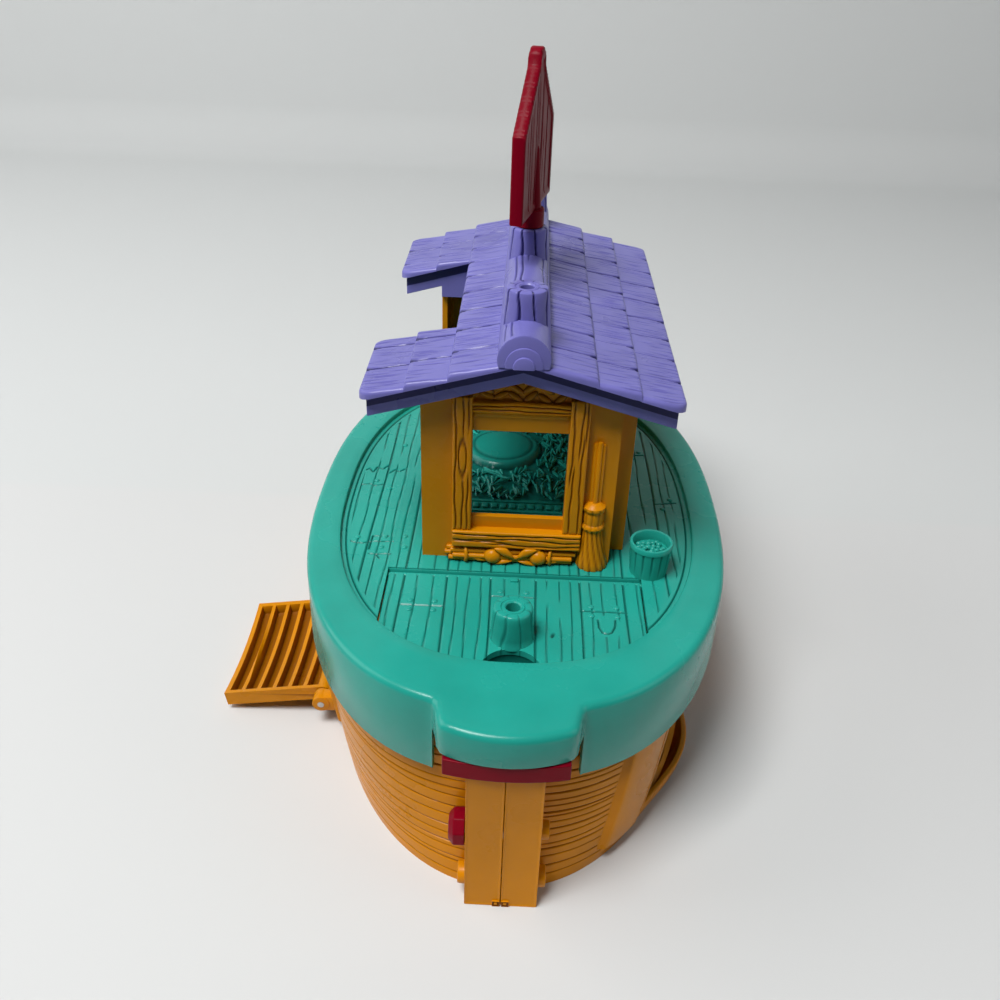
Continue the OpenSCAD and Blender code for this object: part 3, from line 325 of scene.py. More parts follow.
def dress(bm, name, body, slot, material, *nodes):
    """Turns a finished mesh in millimetres into a piece of the scene that stands for CAD nodes."""
    bmesh.ops.remove_doubles(bm, verts=bm.verts[:], dist=0.0005)
    bmesh.ops.recalc_face_normals(bm, faces=bm.faces[:])
    bmesh.ops.scale(bm, verts=bm.verts[:], vec=(MM, MM, MM))
    piece = finished(bm, name, material, 38)
    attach(piece, body)
    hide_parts(*nodes)


KNEE, HULL_TOP, HULL_WIDE, HULL_LONG = 64.0, 87.7, 86.2, 134.5
STRAKE = KNEE / 7
SILL, HEAD = 9.0, 60.5
HINGE_Y, HINGE_Z = 147, 54


def hull_spot(y_knee, z, inset):
    """Point of the hull's side for a station measured at the knee, with the wall moved in by inset."""
    share = (1 - z / KNEE) ** 1.45 if z < KNEE else 0.0
    lean = 1.4 * (z - KNEE) / (HULL_TOP - KNEE) if z > KNEE else 0.0
    wide = HULL_WIDE - 5.2 * share - lean - inset
    long = HULL_LONG + 7.5 * share - lean - inset
    power = 2.4 - 0.35 * share
    ease = min(1.0, max(0.0, (abs(y_knee) - 50) / 84.5))
    y = y_knee * (1 + (long / HULL_LONG - 1) * ease * ease * (3 - 2 * ease))
    return Vector((wide * max(0.0, 1 - min(1.0, abs(y) / long) ** power) ** (1 / power), y, z))


def strakes(across, along, seed):
    """Depths of the seams between the strakes and of the long grain lines that run on each of them."""
    rng = np.random.default_rng(seed)
    depths = np.zeros_like(across)
    for k in range(10):
        sway = ripple(rng, along, 0.7, 22, 40)
        sway += 0.2 * np.sin(along / rng.uniform(7, 11))
        if k:
            depths = groove(depths, across, along, k * STRAKE + sway, -300, 300, 0.54, 0.5)
        lone = rng.random() < 0.5
        shares = (rng.uniform(0.36, 0.64),) if lone else (rng.uniform(0.24, 0.42), rng.uniform(0.58, 0.8))
        for share in shares:
            line = (k + share) * STRAKE + sway + sidestep(rng, along, 3.2, 130, 16, 34)
            line += ripple(rng, along, 0.4, 8, 14)
            gap = rng.uniform(-60, 60)
            for first, last in ((-300, gap - 8), (gap + rng.uniform(4, 40), 300)):
                depths = groove(depths, across, along, line, first, last, 0.42, 0.4, 14)
    return depths


def planked_half(bm, seed, door_front, door_rear):
    """The wall of one hull half on the right of the seam, with its doorway open."""
    before = set(bm.verts)
    ys = sorted([HULL_LONG * math.sin(math.radians(a)) for a in range(-90, 91, 2)] + [door_front, door_rear])
    ys = [y for y in ys if y in (door_front, door_rear) or min(abs(y - door_front), abs(y - door_rear)) > 0.8]
    zs = [z for z in np.arange(0.3, HULL_TOP - 0.2, 0.3) if abs(z - SILL) > 0.15 and abs(z - HEAD) > 0.15]
    zs = sorted(zs + [0.0, SILL, HEAD, HULL_TOP])
    across, along = np.meshgrid(zs, ys)
    skin = faces_of(bm, sheet(bm, ys, zs, hull_spot, strakes(across, along, seed)))
    door = faces_in(skin, 1, door_front, door_rear, SILL, HEAD)
    skin = [f for f in skin if f not in door]
    bmesh.ops.delete(bm, geom=list(door), context="FACES")
    thicken(bm, skin, Vector((1, 0, 0)), 2.4)
    for v in bm.verts:
        if v not in before:
            v.co.z = min(HULL_TOP, max(0.0, v.co.z))
            v.co.x = max(0.05, v.co.x)


def raised_strip(bm, y0, y1, z0, z1, proud, swell=0.0):
    """A smooth raised board that follows the hull's side and may swell out in its middle."""
    soft = min(1.0, (y1 - y0) / 4, (z1 - z0) / 4)

    def place(y, z, d):
        edge = min(y - y0, y1 - y, z - z0, z1 - z, soft)
        fall = soft - math.sqrt(max(0.0, soft * soft - (soft - edge) ** 2))
        return hull_spot(y, z, fall - proud - swell * math.sin(math.pi * (y - y0) / (y1 - y0)) ** 2)

    grid = sheet(bm, steps(y0, y1, 2.5, soft), steps(z0, z1, 4.0, soft), place)
    close_back(bm, grid, lambda p: p - Vector((proud + 0.8, 0, 0)))


def post_half(bm, front, back, height):
    """Half of the stem or stern post: a plain face in a thin raised border."""
    made = block(bm, (6.91, (front + back) / 2, height / 2), (13.58, back - front, height))
    bm.normal_update()
    sides = {f for v in made for f in v.link_faces}
    outer = [f for f in sides if abs(f.normal.y) > 0.9 and abs(f.calc_center_median().y) > 145]
    bmesh.ops.inset_individual(bm, faces=outer, thickness=0.9, depth=-0.45, use_even_offset=True)
    points = set(made) | {v for f in outer for v in f.verts}
    round_edges(bm, edges_of(points), 0.4)


def boss(bm, y, z, reach, radius):
    """A round screw boss on the side of a post."""
    made = rod(bm, (13.2 + reach / 2, y, z), "Y", reach + 1, radius, radius - 0.3)
    round_edges(bm, [e for e in edges_of(made) if all(v.co.x > 14 for v in e.verts)], 0.5)


for side, name, door in ((-1, "hull_left", (-54.8, 12.8)), (1, "hull_right", (-104.0, -39.0))):
    bm = bmesh.new()
    bm.verts.layers.float.new("painted_shade")
    post_half(bm, -150, -131.1, 69)
    post_half(bm, 131.1, 150, 49.8)
    rod(bm, (6.95, HINGE_Y, HINGE_Z), "Y", 13.5, 4.2, segments=40)
    rounded_block(bm, (0.12, 142.8, 45.6), (13.7, 151.2, HINGE_Z), 0.5)
    for y, z in ((-143, 10), (143, 10), (143, 36)):
        boss(bm, y, z, 2.9, 4.4)
    if side < 0:
        # the ramp's jambs, each with a knuckle that takes a pin
        for y in (-61.8, 12.8):
            raised_strip(bm, y, y + 7, 3.5, 62, 2.6)
            knuckle = rod(bm, (84, y + 3.5, 13), "X", 6.6, 4.0, segments=40)
            ends = [e for e in edges_of(knuckle) if abs(e.verts[0].co.y - e.verts[1].co.y) < 0.01]
            round_edges(bm, ends, 0.5)
            rounded_block(bm, (72, y + 0.6, 9.1), (84, y + 6.4, 16.9), 0.5)
    else:
        # the open doorway's frame: a broad board, two beads, a rear jamb and a sill that swells out
        boss(bm, -143, 36, 3.0, 3.7)
        for strip in (
            (-121, -108.2, 7, 62, 2.4), (-107.4, -106.2, SILL, HEAD, 1.2), (-105.4, -104.1, SILL, HEAD, 1.2),
            (-38.9, -34, 3, 62, 3.0), (-106, -34, 2.5, 8.9, 0.6, 5.4),
        ):
            raised_strip(bm, *strip)
    planked_half(bm, 11 + side, *door)
    bmesh.ops.scale(bm, verts=bm.verts[:], vec=(side, 1, 1))
    dress(bm, name + "_moulding", "hull", "amber_plastic", amber, name)


# The bottom plate, the ramp and the little staple at the foot of the stem come out of the same amber plastic.
# Plate and ramp are plain, so each is a copy of the solid with its edges softened as a mould leaves them.
# The staple is two square prongs, each with a sunk ring in its end.
def softened(node, body, material, width, darkening=None, change=None):
    """A copy of a CAD node with merged points and rounded edges. The fifth argument tells how deep in painted
    shade a point lies, and change alters the copy before its edges are rounded."""
    bm = bmesh.new()
    bm.from_mesh(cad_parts[node].data)
    bmesh.ops.remove_doubles(bm, verts=bm.verts[:], dist=1e-6)
    bmesh.ops.dissolve_limit(bm, angle_limit=math.radians(1.5), verts=bm.verts[:], edges=bm.edges[:])
    if change:
        change(bm)
    painted_shade = bm.verts.layers.float.new("painted_shade")
    if darkening:
        for v in bm.verts:
            v[painted_shade] = darkening(v)
    piece = finished(bm, node + "_moulding", material, 35)
    edge = piece.modifiers.new("soft_edges", "BEVEL")
    edge.width = width * MM
    edge.segments = 2
    edge.limit_method = "ANGLE"
    edge.angle_limit = math.radians(35)
    edge.harden_normals = True
    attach(piece, body)
    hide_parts(node)


def pocket(v):
    """Painted shade on the floors of the ramp's pockets, which lie below the middle of the leaning ramp."""
    lean = (abs(v.co.x) - 0.084) * 0.147 + (v.co.z - 0.013) * 0.989
    return 0.45 if lean < 0 and any(f.normal.z > 0.7 for f in v.link_faces) else 0.0


softened("hull_bottom", "hull", amber, 0.3)
softened("ramp_door", "ramp", amber, 0.45, pocket)
bm = bmesh.new()
painted_shade = bm.verts.layers.float.new("painted_shade")
for x in (-1.75, 1.75):
    prong = block(bm, (x, -148.9, 1.46), (2.9, 2.7, 2.9))
    bm.normal_update()
    end = [f for v in prong for f in v.link_faces if f.normal.y < -0.9][:1]
    # the sunk ring in each prong's end is darkened with painted shade
    for inset, sink, darkening in ((0.25, 0.0, 0.7), (0.4, 0.4, 0.7), (0.25, -0.3, 0.0)):
        bmesh.ops.inset_individual(bm, faces=end, thickness=inset, depth=-sink, use_even_offset=True)
        for v in end[0].verts:
            v[painted_shade] = darkening
dress(bm, "stem_clip_moulding", "hull", "amber_plastic", amber, "stem_clip")


# The screws, pins, spring and shaft are plated steel, drawn or turned.
# Only screw heads and pin ends show, so they keep their own shapes and get the metal's finish.
steel = bpy.data.materials.new("steel")
steel.use_nodes = True
tree = steel.node_tree
scratch = noise(tree, 700, 6)
plating = ramp(tree, scratch, (0, (0.36, 0.36, 0.37, 1)), (1, (0.62, 0.61, 0.59, 1)))
dull = output(tree, "MapRange", "Result", {"Value": scratch, "To Min": 0.22, "To Max": 0.45})
fill(tree, tree.nodes["Principled BSDF"], {"Base Color": plating, "Roughness": dull, "Metallic": 1.0})
for node in ("hull_screws", "deck_hinge_pin", "ramp_pins", "latch_spring", "knob_shaft", "house_screws"):
    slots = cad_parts[node].data.materials
    for k in range(len(slots)):
        slots[k] = steel


# The latch band and the knob are gloss crimson mouldings at the bow.
# The band is pressed in by hand, and the hook on its arm lets the deck go; the knob is an eight-sided button.
crimson = moulded_plastic("crimson_plastic", paint(122, 0, 24), paint(54, 0, 7), rough=0.34, shine=0.1)
softened("bow_latch", "latch", crimson, 0.5)
softened("bow_knob", "knob", crimson, 0.6)


# The deck is one sea-green moulding: a broad rounded rim with a hanging skirt, a lobe over the stem, a sunken
# floor of carved planks round the hatch, and a stave bucket. It turns on the pin at the stern with two lugs.
teal = moulded_plastic("teal_plastic", paint(34, 156, 141), paint(5, 72, 64), rough=0.24, shine=0.3)
FLOOR, FLOOR_UNDER, RIM = 88.5, 86.1, 91.0
DECK_WIDE, DECK_LONG, FLOOR_WIDE, FLOOR_LONG, OVAL = 90, 139, 77, 115, 2.4
LOBE, HATCH_SIDE, BORDER, FINE = 26.5, 51.7, -3.9, 0.42
SEAMS = (-62.3, -44.5, -27.0, -9.3, 9.1, 26.5, 44.5, 62.3)


def oval(turn, wide, long):
    """Reach of an oval in the direction of a turn."""
    return ((abs(math.cos(turn)) / wide) ** OVAL + (abs(math.sin(turn)) / long) ** OVAL) ** (-1 / OVAL)


def deck_edge(turn, inset):
    """Reach of the deck's outline, with the lobe blended in at the bow."""
    main = oval(turn, DECK_WIDE - inset, DECK_LONG - inset)
    if math.sin(turn) >= 0:
        return main
    side = (25 - inset) / max(abs(math.cos(turn)), 0.001)
    front = -103 * math.sin(turn) + math.sqrt(max(0.0, (50 - inset) ** 2 - (103 * math.cos(turn)) ** 2))
    lobe = (side**-30 + front**-30) ** (-1 / 30)
    return (main**36 + lobe**36) ** (1 / 36)


def floor_half(x, grow):
    """Half length of the floor's oval, made larger by grow, at a distance from the middle."""
    return (FLOOR_LONG + grow) * max(0.0, 1 - min(1.0, abs(x) / (FLOOR_WIDE + grow)) ** OVAL) ** (1 / OVAL)


def planks(across, along):
    """Depths of the plank seams, which run on from deck to hatch, and of the grain lines between them."""
    rng = np.random.default_rng(31)
    depths = np.zeros_like(across)
    for seam in SEAMS:
        line = seam + ripple(rng, along, 0.35, 16, 26)
        depths = groove(depths, across, along, line, -200, 200, 0.62, 0.56)
    for low, high in zip((-FLOOR_WIDE,) + SEAMS, SEAMS + (FLOOR_WIDE,)):
        for share in (0.3, 0.68) if rng.random() < 0.6 else (0.24, 0.5, 0.77):
            line = low + (high - low) * share + sidestep(rng, along, 1.7, 100, 12, 24)
            line += ripple(rng, along, 0.3, 7, 12)
            gap = rng.uniform(-105, 95)
            for first, last, shift in ((-200, gap - 3, 0), (gap + 5, 200, rng.uniform(-0.8, 0.8))):
                depths = groove(depths, across, along, line + shift, first, last, 0.46, 0.43, 4)
    return depths


def crack(depths, across, along, *points):
    """Adds a groove that runs straight from point to point."""
    deep, half = 0.62, 0.48
    for (x0, y0), (x1, y1) in zip(points, points[1:]):
        run, rise = x1 - x0, y1 - y0
        share = np.clip(((across - x0) * run + (along - y0) * rise) / (run**2 + rise**2), 0, 1)
        off = np.hypot(across - x0 - share * run, along - y0 - share * rise) / half
        depths = np.maximum(depths, deep * np.clip(1 - off * off, 0, 1))
    return depths


def welded(bm, verts):
    """Merges the points of a form that lie on each other and gives those that are left."""
    bmesh.ops.remove_doubles(bm, verts=verts, dist=0.001)
    return [v for v in verts if v.is_valid]


def put(bm, verts, spot, turn=None):
    """Turns a form made at the origin and moves it to its spot."""
    if turn is not None:
        bmesh.ops.rotate(bm, verts=verts, cent=(0, 0, 0), matrix=turn)
    bmesh.ops.translate(bm, verts=verts, vec=spot)


def ball(bm, around, up, radius, stretch):
    """A ball with a number of steps around and up, stretched along the axes."""
    made = bmesh.ops.create_uvsphere(bm, u_segments=around, v_segments=up, radius=radius)["verts"]
    bmesh.ops.scale(bm, verts=made, vec=stretch)
    return made


def nail(bm, x, y, z):
    """A round nail head standing a little proud."""
    put(bm, ball(bm, 14, 8, 1.25, (1, 1, 0.5)), (x, y, z))


def turned(bm, spot, profile, segments, flute=None):
    """A turned form on an upright axis; flute gives how far the surface draws in at a turn and height."""
    before = set(bm.verts)
    made = [bm.verts.new((r, 0, z)) for r, z in profile]
    edges = [bm.edges.new(pair) for pair in zip(made, made[1:])]
    bmesh.ops.spin(bm, geom=made + edges, cent=(0, 0, 0), axis=(0, 0, 1), angle=math.tau, steps=segments,
                   use_merge=True)
    painted_shade = bm.verts.layers.float.get("painted_shade") or bm.verts.layers.float.new("painted_shade")
    form = [v for v in bm.verts if v not in before]
    if flute:
        for v in form:
            reach = math.hypot(v.co.x, v.co.y)
            if reach > 0.01:
                drawn = flute(math.atan2(v.co.y, v.co.x), v.co.z, reach)
                v[painted_shade] = max(0.0, drawn)
                v.co.x *= (reach - drawn) / reach
                v.co.y *= (reach - drawn) / reach
    put(bm, form, spot)
    return welded(bm, form)


bm = bmesh.new()
painted_shade = bm.verts.layers.float.new("painted_shade")
# nails, the hinge lugs at the stern and the sockets of the hatch
for x, y in (
    (-56.5, -44.3), (-46.8, -43.6), (-56.0, -36.6), (-47.5, -35.6), (-67.5, -37.4), (-56.7, 44.2),
    (-66, 9.4), (-59.2, 3.0), (66, -4.6), (70, 3.6), (55.5, 40.6), (59.5, 47),
):
    nail(bm, x, y, FLOOR)
for side in (-1, 1):
    rod(bm, (side * 16, HINGE_Y, HINGE_Z), "Y", 4, 4.2)
    lug = block(bm, (0, 0, 0), (4, 6, 16))
    put(bm, lug, (side * 16, 142.6, 60), Matrix.Rotation(math.radians(38), 3, "X"))
    rounded_block(bm, (side * 54.5 - 2.5, -62.7, 83.4), (side * 54.5 + 2.5, -57.5, 88), 0.4)
# rail under the hatch's hinge and the lip at the front, then the ledge and finger scoop under the hatch
for low, high, soft in (
    ((-51.4, -63.5, 83.0), (51.4, -56.0, 84.3), 0.3),
    ((-51.4, -58.2, 83.5), (51.4, -56.0, 87.8), 0.2),
    ((-7, -126, 73.9), (7, -124, 88.2), 0.3),
    ((-7, -126, 73.9), (7, -121.5, 75.7), 0.3),
):
    rounded_block(bm, low, high, soft)
ledge = sheet(bm, steps(-51.5, 51.5, 1.5), [0.0, 1.0],
              lambda x, v, d: Vector((x, -floor_half(x, 1.5) + 4.6 * v, 84.3)))
flat_back(bm, ledge, 82.6)


def scoop_spot(turn, share, d):
    """Point of the finger scoop, a half bowl with a flat bottom."""
    rise = 1 - math.sqrt(max(0, 1 - share**4))
    return Vector((11.4 * share * math.cos(turn), -115.2 + 11.4 * share * math.sin(turn), 78.6 + 5.9 * rise))


scoop_turns, scoop_shares = [math.radians(a) for a in range(0, 181, 5)], [0.0, 0.55, 0.8, 0.92, 0.98, 1.0]
# the whole finger scoop is darkened with painted shade
shade = np.full((len(scoop_turns), len(scoop_shares)), 0.6)
scoop = welded(bm, sheet(bm, scoop_turns, scoop_shares, scoop_spot, shade))
thicken(bm, faces_of(bm, scoop), Vector((0, 0, 1)), 1.2)
# bucket of fourteen staves with a hoop at the rim and feed in it
BUCKET_X, BUCKET_Y = 55, -52


def stave(turn, z, reach):
    """Gaps between the bucket's staves."""
    if reach <= 7.6 or not 89 < z + FLOOR < 101:
        return 0.0
    return 0.45 * max(0.0, 1 - abs(((turn / math.tau * 14) % 1) - 0.5) / 0.14)


turned(bm, (BUCKET_X, BUCKET_Y, FLOOR),
       [(0, -0.5), (7.6, -0.5), (7.7, 0.4), (8.2, 6), (8.5, 12.3), (8.8, 12.5), (8.8, 14.0), (8.5, 14.5),
        (7.6, 14.5), (7.3, 14.1), (7.3, 10.2), (0, 10.0)], 84, stave)
rng = np.random.default_rng(8)
for k in range(26):
    reach, turn = 5.9 * math.sqrt((k + 0.5) / 26), k * 2.4
    bit = bmesh.ops.create_icosphere(bm, subdivisions=2, radius=rng.uniform(1.0, 1.6))["verts"]
    bmesh.ops.scale(bm, verts=bit, vec=(1, rng.uniform(0.7, 1), 0.8))
    x, y = BUCKET_X + reach * math.cos(turn), BUCKET_Y + reach * math.sin(turn)
    put(bm, bit, (x, y, 99.2 + rng.uniform(-0.3, 0.6)))
# bedding moulded on the floor of the house: a row of studs and a litter of straw round a blanket
for k in range(12):
    rounded_block(bm, (-24 + 4.1 * k, -11.6, FLOOR + 0.4), (-21.2 + 4.1 * k, -7.6, FLOOR + 1.7), 0.4)
rounded_block(bm, (-32, -6.4, FLOOR + 0.4), (33, -4.6, FLOOR + 1.5), 0.4)
rounded_block(bm, (-32, -14.6, FLOOR + 0.4), (33, -13.2, FLOOR + 1.5), 0.4)


def from_blanket(x, y):
    """Distance from the blanket's middle, which is 1 on its border."""
    return np.hypot((x + 8) / 18.5, (y - 42) / np.where(y < 42, 19.5, 17))


placed = 0
while placed < 420:
    x, y, far = rng.uniform(-31, 32), rng.uniform(-3, 72), rng.random() < 0.12
    if far:
        y = rng.uniform(68, 102)
    if from_blanket(x, y) < 1.14:
        continue
    straw = bmesh.ops.create_cone(bm, cap_ends=True, segments=6, radius1=0.9, radius2=0.3,
                                  depth=rng.uniform(5, 9))["verts"]
    lie = Matrix.Rotation(math.radians(rng.normal(0, 24)), 3, "Z")
    lie = lie @ Matrix.Rotation(math.radians(rng.uniform(74, 88)), 3, "X")
    put(bm, straw, (x, y, FLOOR + rng.uniform(1.5, 2.9)), lie)
    placed += 1
# the skin: one ring that is drawn over rim and skirt, down and back under the floor
corner, past = math.radians(-85), math.radians(-60)
for _ in range(40):
    middle = (corner + past) / 2
    if deck_edge(middle, 0) * math.cos(middle) < LOBE:
        corner = middle
    else:
        past = middle
turns = [math.radians(a) for a in list(np.arange(-110, -70, 0.7)) + list(np.arange(-70, 250, 2.0))]
turns = [t for t in turns if min(abs(t - corner), abs(-math.pi - t - corner)) > 0.004]
turns = sorted(turns + [t + d for t in (corner, -math.pi - corner) for d in (-0.0003, 0.0003)])
station = bm.verts.layers.int.new("station")
ring = bmesh.ops.create_circle(bm, cap_ends=False, segments=len(turns), radius=1)["verts"]
for k, v in enumerate(sorted(ring, key=lambda v: math.atan2(v.co.y, v.co.x))):
    v[station] = k
first_ring = list(edges_of(ring))


def deck_ring(verts, kind, amount, height):
    """Puts one ring of the deck's skin in its place; a small height counts from the skirt's lower edge."""
    for v in verts:
        turn = turns[v[station]]
        floor_edge = oval(turn, FLOOR_WIDE + amount, FLOOR_LONG + amount)
        reach = deck_edge(turn, amount) if kind == "edge" else floor_edge
        x, y = reach * math.cos(turn), reach * math.sin(turn)
        under_lobe = y < 0 and deck_edge(turn, 0) * abs(math.cos(turn)) < LOBE
        low_edge = 77.0 if under_lobe else 64 - 7 * min(abs(y) / DECK_LONG, 1) ** 2
        v.co = (x, y, height if height > 40 else low_edge + height)


deck_ring(ring, "floor", 0.0, 87.4)
profile = [("floor", 0.0, 90.1), ("floor", 0.25, 90.7), ("floor", 0.9, RIM), ("floor", 5.0, RIM),
           ("edge", 5.0, RIM)]
for a in np.radians([0, 18, 36, 54, 72, 90]):
    profile.append(("edge", 2.8 * (1 - math.sin(a)), RIM - 2.8 * (1 - math.cos(a))))
profile += [("edge", 0.0, 0.7), ("edge", 0.25, 0.2), ("edge", 0.7, 0.0), ("edge", 1.6, 0.0),
            ("edge", 2.2, 0.5), ("edge", 2.2, 86.8), ("edge", 3.4, 88.0), ("floor", 2.0, 88.0),
            ("floor", 2.0, FLOOR_UNDER), ("floor", 0.0, FLOOR_UNDER)]
edges = first_ring
for kind, amount, height in profile:
    grown = bmesh.ops.extrude_edge_only(bm, edges=edges)["geom"]
    deck_ring(only(BMVert, grown), kind, amount, height)
    edges = only(BMEdge, grown)
bmesh.ops.bridge_loops(bm, edges=edges + first_ring)
# the floor: carved planks in three sheets that overlap beside the hatch, inside a carved border line
CRACKS = (
    ((-62.3, -40.2), (-44.5, -39.0)),
    ((-73, -38.6), (-70.5, -40.6), (-65, -41.8), (-62.3, -40.4)),
    ((-61.0, -49.3), (-51.5, -48.6)),
    ((-61.5, -46), (-61.2, -36), (-54.5, -35.6)),
    ((-57.8, -49.5), (-56.4, -52)),
    ((-73, 5.4), (-68.5, 6.6), (-66, 5.2), (-62.3, 6.6)),
    ((-73, 18.6), (-70.8, 20.6), (-68.9, 17.2), (-67.4, 22.4), (-64.6, 20.4), (-62.3, 24)),
    ((-61, 17), (-58.5, 20.5), (-56.5, 18.4), (-54, 21.5)),
    ((62.3, -1.0), (73, 1.0)),
    ((51.7, 43.6), (62.3, 44.4)),
    ((-44.5, 70), (-27, 69.4)),
)
for x0, x1, front, finer in (
    (-73.0, -HATCH_SIDE + 0.02, None, ((-54, -34), (2, 27), (42, 46))),
    (-HATCH_SIDE - 0.02, HATCH_SIDE + 0.02, -58.0, ((66, 72),)),
    (HATCH_SIDE - 0.02, 73.0, None, ((-6, 4), (40, 48))),
):
    xs = steps(x0, x1, FINE)
    ys = {y for a, b in finer for y in np.round(np.arange(a, b, FINE), 3)}
    ys = sorted(ys | set(np.round(np.arange(-FLOOR_LONG, FLOOR_LONG + 0.1, 3.2), 2)))
    across, along = np.meshgrid(xs, ys, indexing="ij")
    ends = np.array([floor_half(x, BORDER) for x in xs])[:, None]
    along = np.clip(along, front if front else -ends, ends)
    depths = planks(across, along)
    for line in CRACKS:
        depths = crack(depths, across, along, *line)

    def floor_spot(x, y, d):
        """Point of the floor, kept inside its border and behind the hatch."""
        end = floor_half(x, BORDER)
        return Vector((x, min(end, max(front if front else -end, y)), FLOOR - d))

    flat_back(bm, welded(bm, sheet(bm, xs, ys, floor_spot, depths)), FLOOR_UNDER)
border_grows = (-4.3, -4.0, -2.75, -2.5, -2.2, -1.9, -1.65, 0.6)
border_depths = (0.4, -0.02, -0.02, 0.22, 0.62, 0.22, -0.02, -0.02)
border_turns = [math.radians(a) for a in np.linspace(-61.6, 241.6, 200)]


def border_spot(turn, grow, d):
    """Point of the border; it ends square beside the hatch."""
    reach = oval(turn, FLOOR_WIDE + grow, FLOOR_LONG + grow)
    x, y = reach * math.cos(turn), reach * math.sin(turn)
    if y < 0 and abs(x) < HATCH_SIDE:
        x, y = math.copysign(HATCH_SIDE, x), -floor_half(HATCH_SIDE, grow)
    return Vector((x, y, FLOOR - d))


border = sheet(bm, border_turns, border_grows, border_spot, np.array([border_depths] * len(border_turns)))
flat_back(bm, welded(bm, border), FLOOR_UNDER + 0.1)
# the blanket on the floor of the house, a soft heap with a rolled border
xs = steps(-33, 34, 0.7)
ys = sorted({*np.arange(-36, -16, 2.0), *np.round(np.arange(-16, 68, 0.8), 2), *np.arange(68, 104.1, 2.0)})
across, along = np.meshgrid(xs, ys, indexing="ij")
fold = from_blanket(across, along)


def ridge(middle, half):
    """A soft ridge round the blanket at a distance from its middle."""
    return np.exp(-(((fold - middle) / half) ** 2))


blanket = 1.9 + 4.2 * np.sqrt(np.clip(1 - fold * fold, 0, 1))
blanket = blanket + 0.5 * ridge(0.9, 0.07) - 0.3 * ridge(0.77, 0.04)
litter = 1.3 + 0.45 * np.sin(across / 2.1 + np.sin(along / 3)) * np.sin(along / 2.7)
heap = np.where(fold < 1.0, blanket, np.where(along < -3.5, 0.7, litter))
# painted shade on the litter between the straws and in the creases round the blanket's rolled border; the
# blanket itself is made a little darker all over
darkening = np.where((fold > 1.0) & (along > -3.5), 0.4, 0.0) + 0.3 * ridge(0.77, 0.04) + 0.3 * ridge(1.03, 0.05)
darkening += np.where(fold < 1.0, 0.28, 0.0)
sunk = np.where((np.abs(across - 0.5) > 33) | (np.abs(along - 34) > 69), 0.9, 0) - heap
bed = sheet(bm, xs, ys, lambda x, y, d: Vector((x, y, FLOOR + 0.1 - d)), None, sunk)
for v in bed:
    column = np.argmin(np.abs(np.array(xs) - v.co.x))
    row = np.argmin(np.abs(np.array(ys) - v.co.y))
    v[painted_shade] = float(darkening[column, row])
flat_back(bm, bed, FLOOR - 1.2)
dress(bm, "deck_moulding", "lid", "teal_plastic", teal, "deck")


# The hatch is a lid of carved planks in the deck's floor, turning on two moulded stubs at its rear edge.
# A peg stump with a bore stands on it, and the front has a notch for a finger.
bm = bmesh.new()
HATCH, HATCH_UNDER, NOTCH = 87.3, 84.7, 11.3
HATCH_HINGE = (0, -60.1, 86)
JOINTS = ((-44.5, -27, -80.5), (-9.3, 9.1, -72.6), (26.5, 44.5, -79.6))


def hatch_front(x):
    """Front edge of the hatch: the floor's oval, with the finger notch cut out."""
    edge = -floor_half(x, -0.8)
    return max(edge, -115.5 + math.sqrt(max(0.0, NOTCH**2 - x * x))) if abs(x) < NOTCH else edge


def stump(bm, spot, base, top, height, cut):
    """A peg stump: bark grooves of a given depth, a rounded shoulder, a ring line and a peg's bore."""
    bore = 2.7

    def bark(turn, z, reach):
        if reach < 4.6:
            return 0.0
        sway = 0.5 * math.sin(z / 4.0 + 2 * turn) + 0.35 * math.sin(5 * turn)
        place = ((turn + sway / 6) / math.tau * 8) % 1
        return cut * max(0.0, 1 - (abs(place - 0.5) / 0.085) ** 2) * min(1.0, max(0.25, (reach - 4.6) / 2))

    profile = [(0, -0.6), (base + 0.5, -0.6), (base + 0.25, 0.5)]
    profile += [(base + (top - base) * z / height, z) for z in [1.5, *np.linspace(3, height - 1.2, 6)]]
    profile += [(top - 0.25, height - 0.35), (top - 0.8, height), (4.7, height), (4.45, height - 0.35),
                (4.2, height), (bore + 0.5, height), (bore, height - 0.5), (bore, height - 10),
                (0, height - 10)]
    turned(bm, spot, profile, 128, bark)


stump(bm, (0, -96, HATCH), 8.3, 7.4, 13.7, 0.34)
rod(bm, HATCH_HINGE, "Y", 102.2, 1.28, segments=24)
rod(bm, HATCH_HINGE, "Y", 110, 1.0, segments=20)
for low, high, y in JOINTS:
    for x in (low + 4.0, high - 4.0):
        for dy in (-2.8, 2.8):
            nail(bm, x, y + dy, HATCH)
rounded_block(bm, (-1.6, -63.2, 87), (1.6, -60.4, 88.1), 0.4)
xs = sorted(steps(-51.2, 51.2, FINE, 0.5) + [-11.28, -11.1, -10.7, 10.7, 11.1, 11.28])
ys = sorted({*np.round(np.arange(-115, -60.2, 2.6), 2), *np.round(np.arange(-97, -71, FINE), 3), -60.1})
across, along = np.meshgrid(xs, ys, indexing="ij")
depths = np.where(np.hypot((across - 36.4) / 4.6, (along + 88) / 6.5) < 1, 0, planks(across, along))
for low, high, y in JOINTS:
    depths = crack(depths, across, along, (low, y), (high, y))
